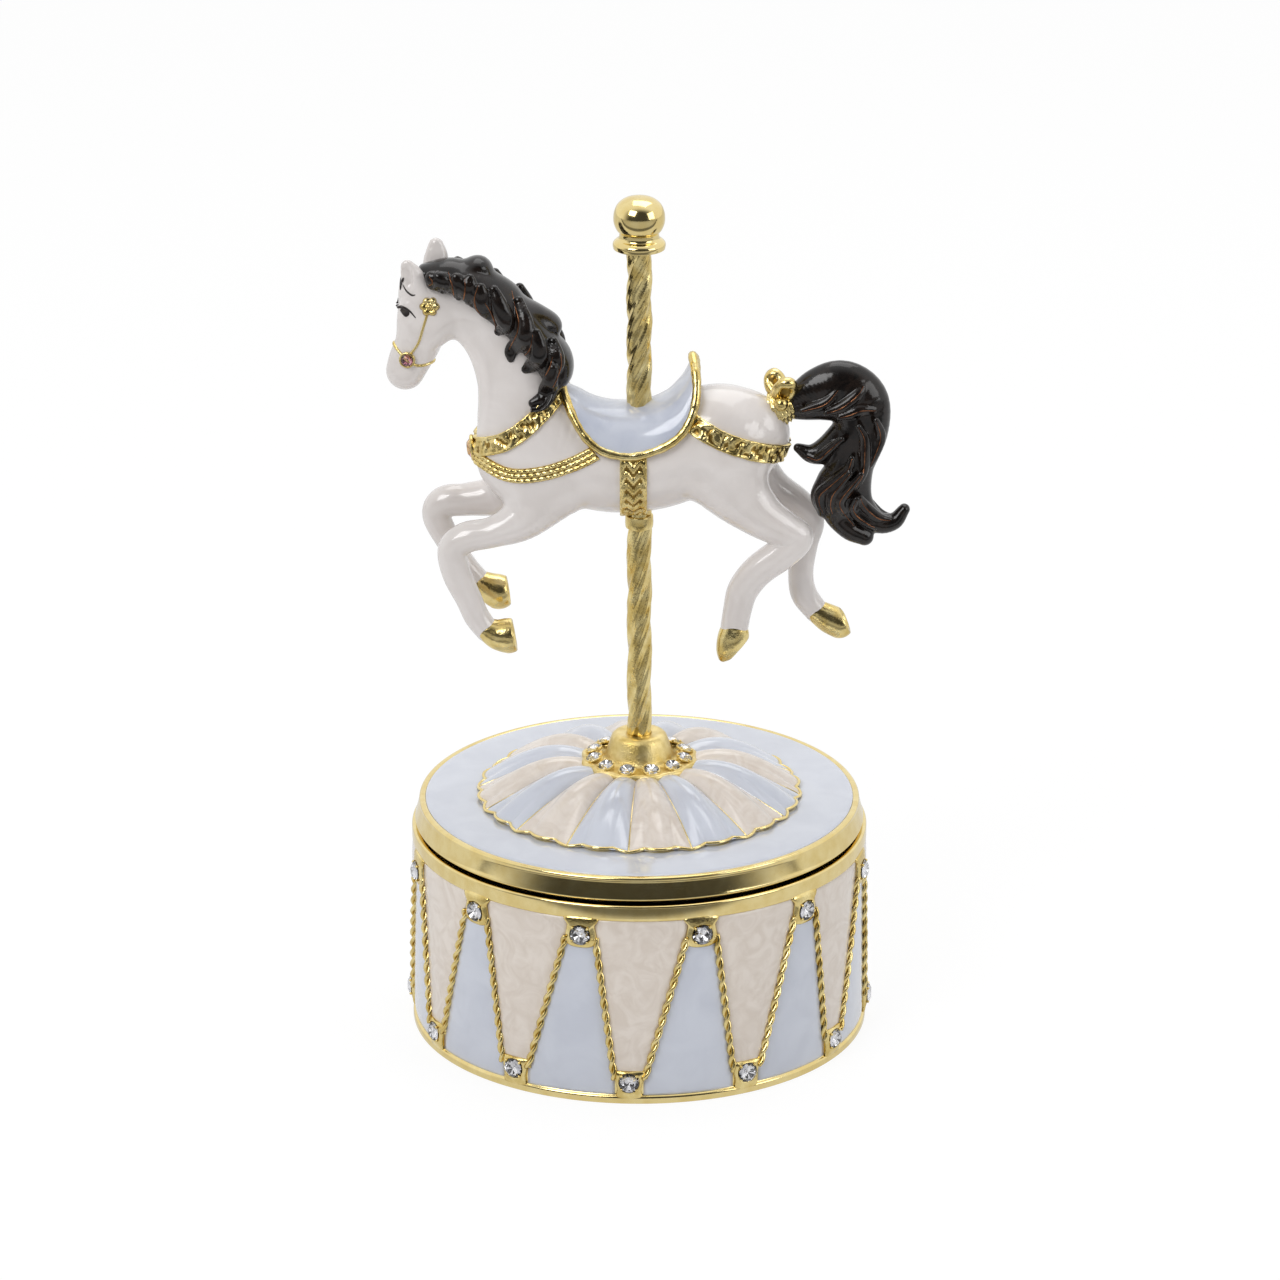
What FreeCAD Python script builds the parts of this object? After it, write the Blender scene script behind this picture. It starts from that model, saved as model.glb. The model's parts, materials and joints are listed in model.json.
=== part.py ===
import FreeCAD, Part
import math
import os

import Sketcher

Vector = FreeCAD.Vector

# Driving dimensions in millimetres, counts and degrees. The frame stands on the table at z = 0,
# the drum's axis is Z, and the horse looks along -X.
SIZES = {
    # Drum: a turned shell, open below, with a gold rim at each end of its enamelled wall
    "drum_radius": 40.0,
    "top_rim_set_back": 0.2,
    "wall_set_back": 0.5,
    "wall_thickness": 2.0,
    "drum_height": 36.1,
    "base_rim_height": 1.3,
    "top_rim_height": 2.1,
    "recess_depth": 12.0,
    "plate_thickness": 2.0,
    # Zigzag of twisted wire with a crystal at each corner
    "zigzag_repeats": 12,
    "upper_crystal_angle": 15.5,
    "lower_crystal_angle": -2.5,
    "crystal_inset": 2.85,
    "rope_radius": 0.7,
    "rope_height": 0.5,
    "bezel_radius": 2.35,
    "bezel_height": 0.4,
    "wall_crystal_radius": 1.75,
    "wall_crystal_height": 0.6,
    # Lid that turns: a disc with a tapered gold band, which carries a fluted rosette
    "running_gap": 1.1,
    "lid_set_back": 0.7,
    "lid_taper": 1.0,
    "lid_height": 4.2,
    "lid_border": 9.9,
    "rosette_rim_height": 0.9,
    "rosette_rise": 5.4,
    "petal_pairs": 8,
    "scallop_count": 32,
    "scallop_radius": 1.5,
    "petal_bulge": 0.9,
    "petal_lip": 0.25,
    "petal_root_radius": 3.0,
    # Collar and pole
    "collar_radius": 10.2,
    "collar_flange": 0.8,
    "collar_neck_radius": 6.2,
    "collar_top_radius": 4.8,
    "collar_height": 4.4,
    "collar_crystal_count": 12,
    "collar_crystal_radius": 1.4,
    "collar_crystal_height": 1.0,
    "pole_radius": 2.15,
    "pole_socket": 2.6,
    "lower_pole_length": 50.4,
    "upper_pole_length": 37.5,
    "finial_radius": 4.5,
    "finial_ball_radius": 4.4,
    "finial_neck_radius": 3.4,
    "finial_height": 9.2,
    # Horse, its length taken from the nose to the rump
    "horse_length": 67.3,
    "horse_half_width": 7.8,
    "neck_half_width": 6.2,
    "head_half_width": 3.6,
    "leg_half_width": 2.6,
    "leg_offset": 4.5,
    "strap_thickness": 0.6,
    "strap_width": 3.3,
    "girth_width": 4.6,
    "saddle_thickness": 1.0,
    "piping_width": 1.1,
    "cheek_strap_width": 0.7,
    "rosette_button_radius": 1.5,
    "chest_gem_radius": 2.1,
    "cheek_gem_radius": 1.2,
    # Movement in its closed case, with the winding key below and the spindle above
    "case_length": 44.0,
    "case_width": 36.0,
    "case_headroom": 3.2,
    "case_corner": 7.0,
    "case_flange": 3.0,
    "case_flange_height": 2.0,
    "case_draft": 3.0,
    "bearing_web": 2.0,
    "arbor_radius": 2.0,
    "key_span": 11.0,
    "key_thickness": 1.6,
    "key_wing_radius": 4.2,
    "key_hub_radius": 3.2,
    "key_drop": 10.2,
    "spindle_radius": 1.5,
    "hub_radius": 6.0,
    "hub_height": 4.0,
    # Clearances
    "running_clearance": 0.05,
    "side_gap": 0.3,
}


class Size:
    """A length of the model: its value, and the sheet expression that gives it."""

    def __init__(self, value, text):
        self.value = float(value)
        self.text = text

    def __float__(self):
        return self.value

    def __add__(self, other):
        other = as_size(other)
        return Size(self.value + other.value, f"({self.text} + {other.text})")

    def __sub__(self, other):
        other = as_size(other)
        return Size(self.value - other.value, f"({self.text} - {other.text})")

    def __mul__(self, other):
        other = as_size(other)
        return Size(self.value * other.value, f"({self.text} * {other.text})")

    def __truediv__(self, other):
        other = as_size(other)
        return Size(self.value / other.value, f"({self.text} / {other.text})")

    def __neg__(self):
        return Size(-self.value, f"(0 - {self.text})")


def as_size(value):
    """A plain number becomes a size whose expression is that number."""
    if isinstance(value, Size):
        return value
    return Size(value, f"({float(value):.9f})")


class Sheet:
    """The document's spreadsheet, with each driving dimension as an attribute."""

    def __init__(self, document):
        cells = document.addObject("Spreadsheet::Sheet", "Sizes")
        for row, (name, value) in enumerate(SIZES.items(), start=1):
            cells.set(f"A{row}", name)
            cells.set(f"B{row}", str(value))
            cells.setAlias(f"B{row}", name)
        document.recompute()
        for name in SIZES:
            setattr(self, name, Size(cells.get(name), f"Sizes.{name}"))


doc = FreeCAD.newDocument("CarouselMusicBox")
S = Sheet(doc)
NODES = []

TURN = {
    "z": FreeCAD.Rotation(),
    "y": FreeCAD.Rotation(Vector(1, 0, 0), -90),
    "x": FreeCAD.Rotation(Vector(0, 1, 0), 90),
}


def node(obj):
    """Mark an object as a finished piece, to be written under its label."""
    NODES.append(obj)
    return obj


def bind(obj, prop, size):
    """Tie a property to a size."""
    obj.setExpression(prop, as_size(size).text)


def place(obj, at, axis="z", spin=0.0):
    """Put an object at a point, with its own Z along an axis, after a spin about that axis."""
    rotation = TURN[axis].multiply(FreeCAD.Rotation(Vector(0, 0, 1), spin))
    obj.Placement = FreeCAD.Placement(Vector(*[float(v) for v in at]), rotation)
    for name, value in zip("xyz", at):
        bind(obj, f"Placement.Base.{name}", value)
    return obj


def box(name, low, high):
    """A block between two corners."""
    obj = doc.addObject("Part::Box", name)
    for prop, a, b in zip(("Length", "Width", "Height"), low, high):
        bind(obj, prop, as_size(b) - a)
    return place(obj, low)


def rod(name, radius, length, at, axis="z"):
    """A cylinder from a point along an axis."""
    obj = doc.addObject("Part::Cylinder", name)
    bind(obj, "Radius", radius)
    bind(obj, "Height", length)
    return place(obj, at, axis)


def prism(name, sides, radius, length, at, axis="z"):
    """A regular bar from a point along an axis; the radius reaches its corners."""
    obj = doc.addObject("Part::Prism", name)
    obj.Polygon = sides
    bind(obj, "Circumradius", radius)
    bind(obj, "Height", length)
    return place(obj, at, axis)


def fused(name, *items):
    """One solid made of several."""
    obj = doc.addObject("Part::MultiFuse", name)
    obj.Shapes = list(items)
    return obj


def drilled(name, base, *tools):
    """A piece with one or more tools cut out of it."""
    obj = doc.addObject("Part::Cut", name)
    obj.Base = base
    obj.Tool = tools[0] if len(tools) == 1 else fused(name + "_tools", *tools)
    return obj


def carved(name, shape):
    """A piece whose form is worked out as a shape."""
    obj = doc.addObject("Part::Feature", name)
    obj.Shape = shape
    obj.Placement = shape.Placement
    return obj


def origin_plane(body, role):
    """One of a body's own base planes."""
    return next(f for f in body.Origin.OriginFeatures if f.Role == role)


def outline_sketch(body, name, points, plane="XY_Plane", height=0):
    """A closed outline with every corner tied to its sizes, on a base plane of the body."""
    sketch = body.newObject("Sketcher::SketchObject", name)
    sketch.AttachmentSupport = [(origin_plane(body, plane), "")]
    sketch.MapMode = "FlatFace"
    bind(sketch, "AttachmentOffset.Base.z", height)
    corners = [Vector(float(a), float(b), 0) for a, b in points]
    count = len(corners)
    for i in range(count):
        sketch.addGeometry(Part.LineSegment(corners[i], corners[(i + 1) % count]), False)
    for i in range(count):
        sketch.addConstraint(Sketcher.Constraint("Coincident", i, 2, (i + 1) % count, 1))
    for i, corner in enumerate(points):
        for kind, axis, value in zip(("DistanceX", "DistanceY"), (-2, -1), corner):
            tie_corner(sketch, i, kind, axis, value)
    return sketch


def tie_corner(sketch, line, kind, axis, value):
    """Tie one coordinate of a line's start: to the axis for a plain 0, else to its size."""
    if not isinstance(value, Size) and value == 0:
        sketch.addConstraint(Sketcher.Constraint("PointOnObject", line, 1, axis))
        return
    index = sketch.addConstraint(Sketcher.Constraint(kind, -1, 1, line, 1, float(value)))
    bind(sketch, f"Constraints[{index}]", value)


def circle_sketch(body, name, radii, height=0):
    """Circles about the body's own axis."""
    sketch = body.newObject("Sketcher::SketchObject", name)
    sketch.AttachmentSupport = [(origin_plane(body, "XY_Plane"), "")]
    sketch.MapMode = "FlatFace"
    bind(sketch, "AttachmentOffset.Base.z", height)
    for i, radius in enumerate(radii):
        sketch.addGeometry(Part.Circle(Vector(), Vector(0, 0, 1), float(radius)), False)
        sketch.addConstraint(Sketcher.Constraint("Coincident", i, 3, -1, 1))
        index = sketch.addConstraint(Sketcher.Constraint("Radius", i, float(radius)))
        bind(sketch, f"Constraints[{index}]", radius)
    return sketch


def turned(label, outline):
    """A body turned about its own Z from an outline of (radius, height) corners."""
    body = doc.addObject("PartDesign::Body", label)
    sketch = outline_sketch(body, label + "_outline", outline, "XZ_Plane")
    turn = body.newObject("PartDesign::Revolution", label + "_turn")
    turn.Profile = sketch
    turn.ReferenceAxis = (sketch, ["V_Axis"])
    turn.Angle = 360
    return body


def padded(label, points, height, thickness):
    """A plate of constant thickness from a plan outline."""
    body = doc.addObject("PartDesign::Body", label)
    pad = body.newObject("PartDesign::Pad", label + "_pad")
    pad.Profile = outline_sketch(body, label + "_outline", points, height=height)
    bind(pad, "Length", thickness)
    return body


def repeat_about_axis(body, feature, sketch, count):
    """Repeat a feature evenly about the body's own axis."""
    pattern = body.newObject("PartDesign::PolarPattern", feature.Name + "_pattern")
    pattern.Originals = [feature]
    pattern.Axis = (sketch, ["N_Axis"])
    pattern.Angle = 360
    bind(pattern, "Occurrences", count)
    body.Tip = pattern
    return pattern


def ring_of(shape, count, start=0.0):
    """Copies of a shape evenly about Z, from a start angle in degrees."""
    step = 360.0 / count
    return [shape.rotated(Vector(), Vector(0, 0, 1), start + step * i) for i in range(count)]


def crystal(radius, height):
    """A flat-backed stone standing on z = 0, with six crown facets up to its table."""
    sides = 6
    table = 0.58 * radius
    return faceted([polygon(sides, radius, 0.0), polygon(sides, table, height)])


def polygon(sides, radius, z):
    """The corners of a regular polygon at a height."""
    corners = []
    for i in range(sides):
        angle = 2 * math.pi * i / sides
        corners.append(Vector(radius * math.cos(angle), radius * math.sin(angle), z))
    return corners


def faceted(rings, closed=False):
    """A solid through rings of as many corners each, in flat three-sided facets; a closed one
    goes on from its last ring to its first."""
    count = len(rings[0])
    outlines = [] if closed else [rings[0], rings[-1]]
    following = rings[1:] + rings[:1] if closed else rings[1:]
    for ring_a, ring_b in zip(rings, following):
        for i in range(count):
            j = (i + 1) % count
            outlines.append([ring_a[i], ring_a[j], ring_b[j]])
            outlines.append([ring_a[i], ring_b[j], ring_b[i]])
    shell = Part.makeShell([Part.Face(Part.makePolygon(o + o[:1])) for o in outlines])
    shell.sewShape()
    solid = Part.makeSolid(shell)
    if solid.Volume < 0:
        solid.reverse()
    return solid


# Radii and heights that several pieces share
wall_radius = S.drum_radius - S.wall_set_back
top_rim_radius = S.drum_radius - S.top_rim_set_back
drum_bore = wall_radius - S.wall_thickness
lid_radius = S.drum_radius - S.lid_set_back
lid_top_radius = lid_radius - S.lid_taper
rosette_radius = lid_top_radius - S.lid_border
base_top = S.recess_depth + S.plate_thickness
lid_z = S.drum_height + S.running_gap
hub_z = lid_z - S.hub_height
case_top = hub_z - S.case_headroom
case_height = case_top - base_top
bearing_depth = (case_height - S.bearing_web) / 2
lid_top = lid_z + S.lid_height
rosette_z = lid_top + S.rosette_rim_height
flange_z = rosette_z + S.rosette_rise
flange_top = flange_z + S.collar_flange
collar_top = flange_top + S.collar_height
horse_z = collar_top + S.lower_pole_length
finial_z = horse_z + S.upper_pole_length
panel_low = S.base_rim_height
panel_high = S.drum_height - S.top_rim_height
upper_crystal_z = panel_high - S.crystal_inset
lower_crystal_z = panel_low + S.crystal_inset


# Drum


def build_drum():
    node(
        turned(
            "drum_shell",
            [
                (drum_bore, 0),
                (S.drum_radius, 0),
                (S.drum_radius, panel_low),
                (wall_radius, panel_low),
                (wall_radius, panel_high),
                (top_rim_radius, panel_high),
                (top_rim_radius, S.drum_height),
                (drum_bore, S.drum_height),
            ],
        )
    )
    hole = S.arbor_radius + S.running_clearance
    node(
        turned(
            "base_plate",
            [
                (hole, S.recess_depth),
                (drum_bore, S.recess_depth),
                (drum_bore, base_top),
                (hole, base_top),
            ],
        )
    )


def wall_point(degrees, z, radius):
    """A point on the drum's wall: the angle runs from the front (-Y) towards +X."""
    angle = math.radians(degrees)
    return Vector(radius * math.sin(angle), -radius * math.cos(angle), z)


def radial(shape, degrees, z, radius):
    """Stand a shape that rises along Z on the drum's wall, pointing outwards."""
    turned_out = shape.rotated(Vector(), Vector(1, 0, 0), 90)
    turned_out.rotate(Vector(), Vector(0, 0, 1), degrees)
    turned_out.translate(wall_point(degrees, z, radius))
    return turned_out


def rope_sections(corners, radius):
    """Sections of the wire at each corner of the zigzag, mitred there, and halfway to the next."""
    count = len(corners)
    half = float(S.rope_radius)
    sections_along = []
    for i, (degrees, z) in enumerate(corners):
        after, after_z = corners[(i + 1) % count]
        before, before_z = corners[i - 1]
        ahead = math.radians((after - degrees) % 360) * radius
        behind = math.radians((degrees - before) % 360) * radius
        run_in = Vector(behind, z - before_z, 0).normalize()
        run_out = Vector(ahead, after_z - z, 0).normalize()
        mitre = Vector(0, 0, 1).cross(run_in + run_out).normalize()
        mitre = mitre * (half / mitre.dot(Vector(0, 0, 1).cross(run_out)))
        square = Vector(0, 0, 1).cross(run_out) * half
        middle = degrees + math.degrees(ahead / radius) / 2
        sections_along.append(rope_section(degrees, z, radius, mitre))
        sections_along.append(rope_section(middle, (z + after_z) / 2, radius, square))
    return sections_along


def rope_section(degrees, z, radius, side):
    """Four corners of the wire where it lies on the wall; the side is along the wall and upwards."""
    out = wall_point(degrees, 0, 1)
    across = Vector(0, 0, 1).cross(out) * side.x + Vector(0, 0, side.y)
    lift = out * float(S.rope_height)
    foot = wall_point(degrees, z, radius)
    return [foot + across, foot + across + lift, foot - across + lift, foot - across]


def build_wall_ornament():
    low = float(lower_crystal_z)
    high = float(upper_crystal_z)
    repeats = int(float(S.zigzag_repeats))
    step = 360.0 / repeats
    lower = float(S.lower_crystal_angle)
    upper = float(S.upper_crystal_angle)
    corners = []
    for i in range(repeats):
        corners += [(lower + step * i, low), (upper + step * i, high)]
    longest = math.radians(max(upper - lower, lower + step - upper))
    half_span = longest / 4 + float(S.rope_radius) / float(wall_radius)
    foot = float(wall_radius) / math.cos(half_span)
    wire = faceted(rope_sections(corners, foot), closed=True)
    bezel = faceted([polygon(6, float(S.bezel_radius), z) for z in (0.0, float(S.bezel_height))])
    stone = crystal(float(S.wall_crystal_radius), float(S.wall_crystal_height))
    bezel_seat = foot + float(S.rope_height)
    stone_seat = bezel_seat + float(S.bezel_height)
    bezels = []
    for label, angle, z in (("lower_crystals", lower, low), ("upper_crystals", upper, high)):
        bezels += ring_of(radial(bezel, angle, z, bezel_seat), repeats)
        node(carved(label, Part.Compound(ring_of(radial(stone, angle, z, stone_seat), repeats))))
    node(carved("zigzag_wire", Part.Compound([wire] + bezels)))


# Lid, rosette, collar and pole


def build_lid():
    band = [(0, lid_z), (lid_radius, lid_z), (lid_top_radius, lid_top), (0, lid_top)]
    node(turned("lid", band))
    boss = prism("hub_boss", 12, S.hub_radius, S.hub_height, (0, 0, hub_z))
    bore = rod("hub_bore", S.spindle_radius, S.hub_height, (0, 0, hub_z))
    node(drilled("turntable_hub", boss, bore))


def build_rosette():
    rim = doc.addObject("PartDesign::Body", "rosette_rim")
    disc = rim.newObject("PartDesign::Pad", "rosette_disc")
    root = rosette_radius - S.scallop_radius
    disc.Profile = circle_sketch(rim, "rosette_round", [root], lid_top)
    bind(disc, "Length", S.rosette_rim_height)
    half = rosette_radius * math.pi / S.scallop_count
    shoulder = root + S.scallop_radius * 0.6
    corners = [(root - S.scallop_radius, -half), (root, -half), (shoulder, half * -0.8),
               (rosette_radius, 0), (shoulder, half * 0.8), (root, half),
               (root - S.scallop_radius, half)]
    lobe_sketch = outline_sketch(rim, "scallop_outline", corners, height=lid_top)
    lobe = rim.newObject("PartDesign::Pad", "scallop")
    lobe.Profile = lobe_sketch
    bind(lobe, "Length", S.rosette_rim_height)
    repeat_about_axis(rim, lobe, lobe_sketch, S.scallop_count)
    node(rim)

    pairs = int(float(S.petal_pairs))
    step = 360.0 / pairs
    first = -90 + 7.5
    one = petal()
    node(carved("cream_petals", Part.Compound(ring_of(one, pairs, first))))
    node(carved("blue_petals", Part.Compound(ring_of(one, pairs, first + step / 2))))


def petal():
    """One flute of the rosette along +X: a low arch that widens and falls towards the rim."""
    inner = float(S.petal_root_radius)
    crown = float(S.collar_radius)
    outer = float(rosette_radius) - float(S.scallop_radius) * 0.7
    bottom = float(rosette_z)
    slope = math.tan(math.pi / (2 * float(S.petal_pairs)))
    lip = float(S.petal_lip) + float(S.petal_bulge)
    rise = float(S.rosette_rise) - lip
    rings = []
    for r in (inner, crown, crown * 0.6 + outer * 0.4, outer):
        share = max(r - crown, 0) / (outer - crown)
        half = r * slope - float(S.running_clearance)
        top = bottom + lip + rise * (1 - share) ** 1.15
        bulge = float(S.petal_bulge) * share**0.5
        corners = [Vector(r, -half, bottom), Vector(r, half, bottom)]
        for across in (1.0, 0.6, 0.0, -0.6, -1.0):
            corners.append(Vector(r, half * across, top - bulge * across**2))
        rings.append(corners)
    return faceted(rings)


def build_collar_and_pole():
    socket = S.pole_radius + S.running_clearance
    socket_z = collar_top - S.pole_socket
    profile = [(S.collar_radius, flange_z), (S.collar_radius, flange_top),
               (S.collar_neck_radius, flange_top), (S.collar_top_radius, collar_top)]
    casting = faceted([polygon(24, float(r), float(z)) for r, z in profile])
    bore = Part.makeCylinder(float(socket), float(S.pole_socket), Vector(0, 0, float(socket_z)))
    node(carved("pole_collar", casting.cut(bore)))
    stone = crystal(float(S.collar_crystal_radius), float(S.collar_crystal_height))
    middle = (float(S.collar_radius) + float(S.collar_neck_radius)) / 2
    stone.translate(Vector(middle, 0, float(flange_top)))
    count = int(float(S.collar_crystal_count))
    node(carved("collar_crystals", Part.Compound(ring_of(stone, count, 360.0 / count / 2))))

    for label, low, high in (("lower_pole", socket_z, horse_z), ("upper_pole", horse_z, finial_z)):
        node(turned(label, [(0, low), (S.pole_radius, low), (S.pole_radius, high), (0, high)]))
    build_finial()


def build_finial():
    """A moulded flange and neck under a flattened ball, in facets about the pole's axis."""
    flange = float(S.finial_radius)
    ball = float(S.finial_ball_radius)
    neck = float(S.finial_neck_radius)
    profile = [(flange * 0.9, 0.0), (flange, 0.06), (flange * 0.9, 0.14), (neck, 0.22), (neck, 0.38),
               (ball * 0.94, 0.52), (ball, 0.66), (ball * 0.88, 0.83), (ball * 0.4, 1.0)]
    rings = []
    for radius, share in profile:
        rings.append(polygon(16, radius, float(finial_z) + float(S.finial_height) * share))
    node(carved("finial", faceted(rings)))


# Horse. Stations of each limb are (x, z, half depth, half width, offset): x and z in mm from the
# pole's axis at the middle of the barrel, seen from the side; half width and offset are shares of
# the limb's own half width and of the spread of the legs. They are drawn for a horse of the drawn
# length, and follow the length that the sheet gives it.

DRAWN_LENGTH = 67.3
SHARE = float(S.horse_length) / DRAWN_LENGTH


def stations(rows):
    """Drawn stations at the horse's own length."""
    return [(x * SHARE, z * SHARE, depth * SHARE, width, offset) for x, z, depth, width, offset in rows]


def side_line(points):
    """Drawn side-view points at the horse's own length."""
    return [(x * SHARE, z * SHARE) for x, z in points]


TORSO = stations([
    (-26.6, 1.0, 3.2, 0.40, 0),
    (-23.5, 1.0, 8.2, 0.72, 0),
    (-17.0, 1.2, 10.8, 0.88, 0),
    (-10.0, 1.0, 9.7, 0.96, 0),
    (-4.0, 0.2, 9.7, 1.00, 0),
    (2.0, 0.3, 9.3, 1.00, 0),
    (8.7, 2.7, 9.5, 0.95, 0),
    (14.0, 3.6, 9.6, 0.92, 0),
    (19.0, 4.0, 8.6, 0.82, 0),
    (22.3, 5.0, 5.6, 0.56, 0),
    (23.8, 5.5, 2.0, 0.23, 0),
])
NECK = stations([
    (-18.5, 1.0, 8.0, 1.00, 0),
    (-20.0, 7.2, 7.5, 0.94, 0),
    (-20.7, 14.4, 7.0, 0.81, 0),
    (-23.4, 21.0, 6.2, 0.69, 0),
    (-27.4, 25.4, 5.5, 0.61, 0),
    (-32.6, 27.2, 5.2, 0.56, 0),
    (-36.0, 27.6, 4.0, 0.48, 0),
])
HEAD = stations([
    (-36.3, 32.2, 2.6, 0.56, 0),
    (-36.5, 29.4, 4.2, 0.89, 0),
    (-36.7, 25.2, 4.6, 1.00, 0),
    (-37.6, 21.1, 3.95, 0.92, 0),
    (-39.1, 17.8, 3.8, 0.81, 0),
    (-39.9, 14.8, 3.2, 0.75, 0),
    (-40.0, 13.4, 1.4, 0.33, 0),
])
NEAR_FORELEG = stations([
    (-15.0, -4.5, 5.5, 1.30, -0.75),
    (-20.0, -9.5, 3.8, 1.23, -0.93),
    (-25.0, -11.8, 2.75, 1.04, -1),
    (-29.6, -12.8, 2.8, 1.00, -1),
    (-32.0, -15.0, 2.7, 0.96, -1),
    (-31.4, -19.4, 2.5, 0.88, -1),
    (-29.4, -23.9, 2.2, 0.81, -1),
    (-28.0, -27.5, 2.0, 0.77, -1),
    (-26.2, -30.0, 1.9, 0.73, -1),
])
FAR_FORELEG = stations([
    (-17.0, -2.0, 5.0, 1.30, 0.75),
    (-24.0, -7.8, 3.6, 1.15, 0.93),
    (-29.5, -9.0, 3.0, 1.04, 1),
    (-33.6, -9.5, 2.9, 1.00, 1),
    (-35.0, -12.0, 2.6, 0.92, 1),
    (-33.0, -16.6, 2.3, 0.85, 1),
    (-30.2, -21.0, 2.1, 0.77, 1),
    (-27.2, -24.6, 1.9, 0.73, 1),
])
NEAR_HIND_LEG = stations([
    (13.0, 3.0, 8.0, 1.70, -0.62),
    (15.5, -3.0, 6.2, 1.62, -0.85),
    (19.5, -8.0, 3.9, 1.30, -1),
    (24.5, -11.1, 2.9, 1.08, -1),
    (27.6, -13.4, 2.8, 1.00, -1),
    (25.6, -16.4, 2.6, 0.92, -1),
    (21.6, -19.0, 2.4, 0.85, -1),
    (18.4, -22.2, 2.3, 0.81, -1),
    (16.9, -25.8, 2.2, 0.77, -1),
    (16.4, -29.8, 2.2, 0.77, -1),
])
FAR_HIND_LEG = stations([
    (14.0, 4.0, 7.5, 1.70, 0.62),
    (17.5, -2.0, 5.6, 1.54, 0.85),
    (22.5, -6.8, 3.4, 1.19, 1),
    (27.2, -9.8, 2.7, 1.00, 1),
    (29.6, -12.8, 2.6, 0.92, 1),
    (28.6, -17.0, 2.4, 0.85, 1),
    (28.0, -22.4, 2.1, 0.77, 1),
    (28.6, -26.4, 2.2, 0.77, 1),
    (30.8, -29.8, 2.1, 0.73, 1),
])
LEGS = [NEAR_FORELEG, FAR_FORELEG, NEAR_HIND_LEG, FAR_HIND_LEG]
# Each hoof goes on from the end of its leg, in the order of LEGS
HOOVES = [
    stations([(-24.2, -30.9, 2.6, 0.95, -1), (-22.0, -31.4, 3.2, 1.10, -1)]),
    stations([(-25.2, -25.8, 2.6, 0.95, 1), (-23.5, -26.6, 3.2, 1.10, 1)]),
    stations([(16.7, -32.0, 2.7, 0.95, -1), (17.4, -33.9, 3.3, 1.10, -1)]),
    stations([(33.2, -31.2, 2.6, 0.95, 1), (35.6, -32.4, 3.0, 1.10, 1)]),
]
NEAR_EAR = stations([
    (-38.0, 31.0, 1.7, 0.40, -0.42),
    (-38.6, 33.6, 1.6, 0.36, -0.50),
    (-39.4, 36.4, 0.5, 0.12, -0.55),
])
FAR_EAR = stations([
    (-35.0, 31.5, 1.8, 0.40, 0.42),
    (-34.4, 35.8, 1.7, 0.36, 0.50),
    (-34.2, 38.8, 0.6, 0.12, 0.55),
])
MANE = stations([
    (-37.0, 33.0, 1.6, 0.45, -0.05),
    (-33.5, 33.2, 2.8, 0.72, -0.12),
    (-28.0, 32.4, 4.2, 0.85, -0.16),
    (-22.5, 28.4, 4.4, 0.92, -0.16),
    (-17.6, 23.6, 4.4, 0.98, -0.14),
    (-14.6, 18.4, 3.6, 1.00, -0.12),
    (-14.0, 14.2, 1.8, 0.80, -0.10),
])
TAIL = stations([
    (26.0, 9.2, 1.9, 0.5, 0),
    (29.0, 12.4, 3.6, 1.0, 0),
    (33.6, 13.4, 4.6, 1.3, 0),
    (37.6, 10.4, 5.0, 1.4, 0),
    (38.4, 5.2, 4.6, 1.4, 0),
    (36.2, -0.2, 4.4, 1.4, 0),
    (34.6, -5.4, 5.2, 1.4, 0),
    (36.6, -10.2, 4.0, 1.3, 0),
    (41.0, -12.2, 2.6, 1.0, 0),
    (44.8, -11.0, 1.5, 0.6, 0),
    (46.2, -9.0, 0.6, 0.25, 0),
])
TAIL_CURL = stations([
    (34.4, 7.2, 2.6, 0.9, 0),
    (31.8, 2.6, 2.0, 0.8, 0),
    (28.6, 1.0, 1.2, 0.5, 0),
    (27.0, 2.2, 0.5, 0.2, 0),
])
# Harness bands, as the line of their middle seen from the side
COLLAR_LINE = side_line([(-13.2, 13.6), (-16.9, 9.8), (-22.0, 5.8), (-30.0, 3.0)])
BREAST_LINE = side_line([(-30.0, 1.2), (-25.8, 0.8), (-22.0, -0.4), (-16.9, -0.1), (-11.8, 1.3),
                         (-6.4, 4.0)])
BREECHING_LINE = side_line([(8.4, 9.0), (15.5, 5.4), (26.0, 1.6)])
GIRTH_LINE = side_line([(-1.0, -12.0), (-1.0, 8.0)])
CHEEK_LINE = side_line([(-35.8, 28.0), (-37.7, 21.8), (-39.0, 19.6)])
NOSE_LINE = side_line([(-44.0, 23.0), (-41.6, 21.0), (-39.4, 18.8), (-37.4, 17.4), (-34.0, 17.6)])
SADDLE_OUTLINE = side_line([(-13.4, 14.4), (-12.4, 11.0), (-9.6, 6.9), (-5.0, 3.8), (-1.6, 3.3),
                            (2.2, 4.0), (5.6, 5.8), (8.2, 8.4), (9.6, 12.5), (9.8, 18.0),
                            (-13.4, 18.0)])
CANTLE = stations([
    (6.6, 11.0, 0.9, 0.78, 0),
    (8.2, 15.0, 0.9, 0.74, 0),
    (9.2, 18.4, 0.8, 0.52, 0),
    (9.4, 20.2, 0.6, 0.22, 0),
])
BOW_KNOT = stations([(22.8, 8.6, 3.2, 0.45, 0), (24.4, 9.4, 3.4, 0.50, 0), (25.8, 10.2, 2.9, 0.42, 0)])
NEAR_LOOP = [(23.6, 11.2, 0.8, 0.20, -0.2), (24.4, 13.4, 1.6, 0.30, -0.5), (26.0, 14.8, 0.7, 0.20, -0.7)]
FAR_LOOP = [(23.6, 11.2, 0.8, 0.20, 0.2), (22.6, 13.4, 1.5, 0.30, 0.5), (23.2, 15.0, 0.7, 0.20, 0.7)]
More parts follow.
